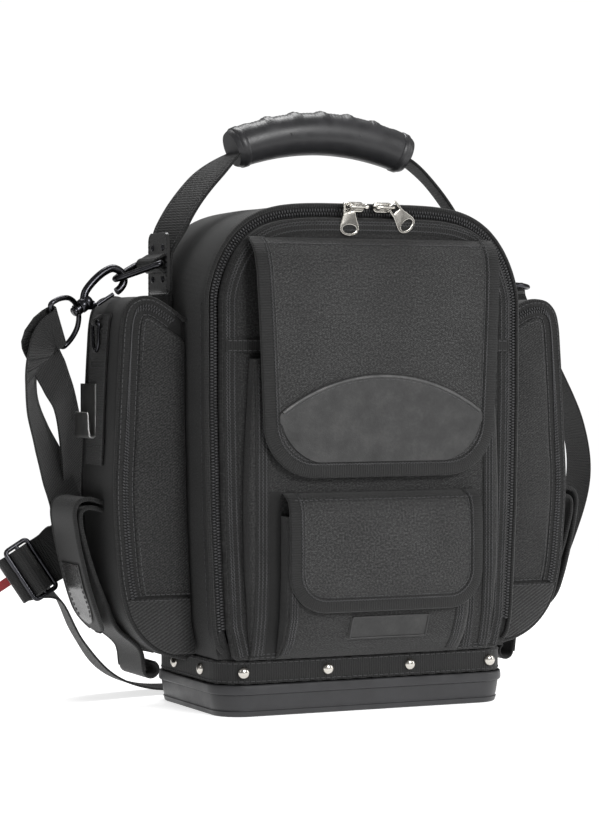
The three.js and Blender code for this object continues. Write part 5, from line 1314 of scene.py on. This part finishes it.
for side, sign in bothSides.items():
    name = side.title()
    x = sign * (shoulderHalf + handleGap + chape["thick"] / 2)
    low, high = chape["level"] - chape["tall"] / 2, chape["level"] + chape["tall"] / 2
    ground = onSide(sign, lambda y, z: abs(x) - chape["thick"] / 2)
    c, y = chape["round"], handle["y"]
    corner = lambda z: chape["half"] - (0 if z < high - c
                                        else c - math.sqrt(max(0, c * c - (z - high + c) ** 2)))
    levels = np.linspace(0, math.pi / 2, 9)
    levels = np.concatenate([np.linspace(low, high - c - 1, 14), high - c + c * np.sin(levels)])
    plate = panelOn(ground, lambda z: y - corner(z), lambda z: y + corner(z), levels, chape["thick"], 24, 1.0)
    piece("chape" + name, plate, "glossLeather", ["chape_plate_" + side])
    caps = [((x + sign * 0.9, y + across * chape["capY"], chape["level"] + up * chape["capZ"]),
             (0, sign * math.pi / 2, 0))
            for across in (-1, 1) for up in (-1, 1)]
    scatter("chapeRivets" + name, "blackNickel", (0.0026, 0.0026, 0.0014), caps, "black_nickel", **still)
    edgeRun = [(y - corner(z) + 2.2, z) for z in levels[::-1]] + [(y + corner(z) - 2.2, z) for z in levels]
    sewRow(ground, np.array(edgeRun), 0, 2.25, 2.6, 1.3)
    base = np.array((sign * holder["x"], y, chape["level"]))
    turns, bend = np.radians(90 - 20 * np.arange(10)), holder["bend"]
    arc = [(base[0] + sign * bend * math.cos(a), y, base[2] + bend * math.sin(a)) for a in turns]
    lapX = base[0] - sign * holder["lap"]
    line = [(lapX, y, base[2] + holder["rise"]), *arc, (lapX, y, base[2] - holder["rise"])]
    piece("ringHolder" + name, band([(*p, 0, holder["half"], 0) for p in line], holder["thick"]),
          "strapTape", ["ring_holder_" + side])
    reach = np.array((sign * sideRing["reach"], 0, -sideRing["fall"]))
    line = [base + reach * out + (0, across * sideRing["half"], 0) for out, across in sideRingRows]
    line = spline(line, 120, closed=True)
    piece("sideRing" + name, tube(line, sideRing["wire"], closed=True, sides=14), "blackNickel",
          ["side_ring_" + side])
    look, swung = hookFrames[side], strapRings[side]
    step, rise = look["a"] * hook["length"], look["b"] * hook["width"]
    at = lambda along, out: look["origin"] + step * along + rise * out
    bow = tube(spline([at(*row) for row in bowRows], 90), hook["wire"], sides=16)
    barrel, post = [turned([(radius, along * hook["length"]) for radius, along in rows], look["origin"],
                           look["a"], sides)
                    for rows, sides in ((barrelRows, 26), (postRows, 22))]
    ear = band([(*at(s, -0.2 if s < 0.8 else 0), *(look["c"] * hook["ear"])) for s in (0.68, 0.76, 0.86)],
               5, edge=0.8)
    parts = [bow, barrel, post, ear]
    gate = tube(spline([look["nose"], (look["nose"] + look["pivot"]) / 2, look["pivot"]], 12), hook["gate"],
                sides=12)
    if side == "left":
        piece("hookGate", gate, "blackNickel", ["hook_gate_left"], body="gate")
    else:
        parts.append(gate)
    piece("snapHook" + name, joined(*parts), "blackNickel", ["snap_hook_" + side], sharp=50)
    along = swung["end"] - swung["post"]
    line = spline([swung["post"] + along * out + swung["bar"] * across * strapRing["half"]
                   for out, across in strapRingRows], 110, closed=True)
    boss = turned(bossRows, swung["post"], look["a"], 24)
    piece("strapRing" + name, joined(tube(line, strapRing["wire"], closed=True, sides=12), boss),
          "blackNickel", ["strap_ring_" + side])
print("rings and hooks ready")

# Shoulder strap: sewn at the slide, round the left ring, through the slide, behind the bag to the right ring
strap = dict(width=38, thick=1.6, round=3.4, doubled=38)
slideSize = dict(halfAlong=10.1, halfAcross=21.8, corner=3, wire=1.9)
tag = dict(length=13, half=3.5, thick=0.9)
slideFrame = dict(centre=np.array((-221.676, 66.03, 104.177)), a=np.array((0.863, 0.05, 0.502)),
                  b=np.array((-0.499, 0.231, 0.835)), c=np.array((-0.074, -0.972, 0.225)))
outerStrand = [(-233, 11, 270, 0.42, 0.7, -0.5), (-236.5, 19, 252, 0.42, 0.85, -0.2),
               (-233, 30, 232, 0.5, 0.86, 0), (-222, 42, 207, 0.6, 0.78, 0), (-208, 54, 182, 0.75, 0.65, 0),
               (-196, 63, 158, 0.8, 0.55, 0), (-190, 67, 136, 0.8, 0.3, -0.4)]
innerStrand = [(-224, 27, 268, 0.75, 0.6, 0.3), (-213, 36, 252, 0.75, 0.6, 0.3),
               (-203, 44, 236, 0.7, 0.7, 0.1), (-193, 56, 208, 0.7, 0.7, 0), (-181, 76, 172, 0.75, 0.6, 0),
               (-178, 86, 142, 0.8, 0.5, -0.1), (-184, 82, 126, 0.8, 0.2, -0.5)]
longStrand = [(-196, 88, 84, 0.1, 0.95, 0.2), (-174, 93, 48, 0.1, 0.97, 0.1), (-150, 96, 20, 0, 1, 0.05),
              (-118, 100, 6, 0, 1, 0), (-60, 104, 3, 0, 1, 0), (0, 106, 3, 0, 1, 0), (70, 106, 3, 0, 1, 0),
              (130, 104, 5, 0, 1, 0), (185, 98, 20, -0.1, 1, 0), (228, 86, 62, -0.1, 1, 0.1),
              (252, 72, 120, -0.05, 1, 0.05), (262, 64, 168, 0, 1, 0), (257, 66, 210, 0, 1, 0),
              (240, 80, 255, -0.2, 0.97, 0), (222, 94, 290, -0.5, 0.8, 0), (209, 97, 313, -0.8, 0.58, 0)]
sewnEnd = [(1.2, 3.2), (-2.3, 2.4), (-3.3, 0), (-2.3, -2.4), (0.5, -3.5), (6, -4.9), (12, -6), (22, -6)]
threaded = [(24, -2.6), (13, -3.5), (8.6, -2.6), (6.3, 0.6), (4, 4.2), (0, 5.9), (-4, 4.2), (-6.3, 0.6),
            (-8.6, -2.6), (-13, -4.4), (-16, -7), (-15.5, -11), (-10, -14)]
foldTurns = [(-100, 0.27), (-115, 0), (-58, 0), (0, 0), (58, 0), (115, 0), (100, 0.27)]


def atSlide(along, out):
    return (*(slideFrame["centre"] + slideFrame["a"] * along + slideFrame["c"] * out), *slideFrame["b"])


def roundBar(side, face):
    swung = strapRings[side]
    along, rows = unit(swung["end"] - swung["post"]), []
    for turn, beyond in foldTurns:
        back = beyond * strap["doubled"] - strap["round"] * math.cos(math.radians(turn))
        up = face * strap["round"] * math.sin(math.radians(turn))
        rows.append((*(swung["end"] + along * back + swung["normal"] * up), *swung["bar"]))
    return rows


rows = [atSlide(*p) for p in sewnEnd] + innerStrand[::-1] + roundBar("left", 1) + outerStrand
rows += [atSlide(*p) for p in threaded] + longStrand + roundBar("right", -1)
rows = np.array([list(map(float, r)) for r in rows])
for i in range(1, len(rows)):
    rows[i, 3:] = unit(rows[i, 3:])
    if np.dot(rows[i, 3:], rows[i - 1, 3:]) < 0:
        rows[i, 3:] *= -1
run = spline(rows, 620)
along = np.gradient(run[:, :3], axis=0)
along /= np.linalg.norm(along, axis=1)[:, None]
across = run[:, 3:] - along * (run[:, 3:] * along).sum(1)[:, None]
across *= (strap["width"] / 2) / np.linalg.norm(across, axis=1)[:, None]
places = np.column_stack([run[:, :3], across])
piece("shoulderStrap", band(places, strap["thick"], edge=0.5), "strapTape", ["shoulder_strap"])
lift = np.cross(along, across) / (strap["width"] / 2)
foldAt = int(np.argmin(np.linalg.norm(run[:, :3] - np.array(outerStrand[0][:3]), axis=1)))
for step in (2, 5, 8):
    i = foldAt + step
    for turn in (-1, 1):
        line = [run[i, :3] + across[i] * s + lift[i] * turn * 1.1 for s in np.linspace(-0.86, 0.86, 12)]
        sewAlong(np.array(line), np.tile(lift[i] * turn, (12, 1)), 2.0, 0.6)
centre, wire = slideFrame["centre"], slideSize["wire"]
loop = [centre + slideFrame["a"] * x + slideFrame["b"] * y
        for x, y in roundBox(slideSize["halfAlong"], slideSize["halfAcross"], slideSize["corner"], 4)]
bar = [centre + slideFrame["b"] * y * slideSize["halfAcross"] for y in (-1, 0, 1)]
slide = joined(tube(evenly(np.array(loop + loop[:1]), 110)[:-1], wire, closed=True, sides=12),
               tube(bar, wire, sides=12))
piece("strapSlide", slide, "blackNickel", ["strap_slide"])
start = centre - slideFrame["a"] * 17.4 + slideFrame["b"] * 2 - slideFrame["c"] * 9
tagLine = [start - slideFrame["a"] * tag["length"] * s + slideFrame["c"] * 0.5 * math.sin(s * 3)
           for s in np.linspace(0, 1, 8)]
piece("strapTag", band([(*p, *(slideFrame["b"] * tag["half"])) for p in tagLine], tag["thick"]), "redTape",
      ["strap_tag"])
print("strap ready")

# Stitches, camera, light and floor
points = [p for thread in threads for p in thread]
edges, start = [], 0
for thread in threads:
    edges += [(start + i, start + i + 1) for i in range(len(thread) - 1)]
    start += len(thread)
grow("stitches", threadTree(finish["thread"]), points, "webbing", edges=edges)
print("stitches ready", len(threads))

photoView = dict(place=(-0.91049, -1.90335, 0.27318), tilt=88.6, turn=-24.94, lens=117.87, sensor=36)
view = bpy.data.cameras.new("photoView")
view.lens, view.sensor_width, view.sensor_fit = photoView["lens"], photoView["sensor"], "AUTO"
camera = bpy.data.objects.new("photoView", view)
camera.location = photoView["place"]
camera.rotation_euler = (math.radians(photoView["tilt"]), 0, math.radians(photoView["turn"]))
bpy.context.collection.objects.link(camera)
bpy.context.scene.camera = camera
bpy.context.scene.view_settings.view_transform = "Standard"


def areaLight(name, place, target, size, power):
    light = bpy.data.lights.new(name, "AREA")
    light.shape, light.size, light.size_y = "RECTANGLE", *size
    light.energy = power
    obj = bpy.data.objects.new(name, light)
    obj.location = place
    obj.rotation_euler = (Vector(target) - Vector(place)).to_track_quat("-Z", "Y").to_euler()
    bpy.context.collection.objects.link(obj)
    return obj


lights = dict(
    key=dict(place=(0.35, -2.3, 1.25), target=(0, 0, 0.22), size=(0.8, 0.7), power=38),
    fill=dict(place=(1.8, -0.9, 0.8), target=(0, 0, 0.2), size=(0.8, 1.3), power=10),
    rim=dict(place=(-2.2, -0.5, 1.5), target=(0, 0, 0.25), size=(0.35, 1.0), power=4),
    top=dict(place=(0.1, 0.5, 1.5), target=(0, 0, 0.2), size=(0.8, 0.6), power=12),
)
staged = [areaLight(name, **look) for name, look in lights.items()]
world = bpy.data.worlds.new("room")
bpy.context.scene.world = world
world.use_nodes = True
sky = world.node_tree.nodes["Background"]
path = node(world.node_tree, "ShaderNodeLightPath")
room = dict(light=0.22, seen=0.80)
seen = math2(world.node_tree, "MULTIPLY", path.outputs["Is Camera Ray"], room["seen"])
world.node_tree.links.new(math2(world.node_tree, "ADD", seen, room["light"]), sky.inputs["Strength"])
sky.inputs["Color"].default_value = (1, 1, 1, 1)
floorMesh = bpy.data.meshes.new("floor")
floorLook = dict(half=1.2, tone=0.9, rough=0.9, glow=0.70)
floorCorners = [(x * floorLook["half"], y * floorLook["half"], 0)
                for x, y in ((-1, -1), (1, -1), (1, 1), (-1, 1))]
floorMesh.from_pydata(floorCorners, [], [(0, 1, 2, 3)])
floor = bpy.data.objects.new("floor", floorMesh)
bpy.context.collection.objects.link(floor)
paper, tree, shader = newFinish("palePaper", floorLook["rough"])
shader.inputs["Base Color"].default_value = (*grey(floorLook["tone"]), 1)
shader.inputs["Emission Color"].default_value = (1, 1, 1, 1)
shader.inputs["Emission Strength"].default_value = floorLook["glow"]
floorMesh.materials.append(paper)
print("view and light ready")
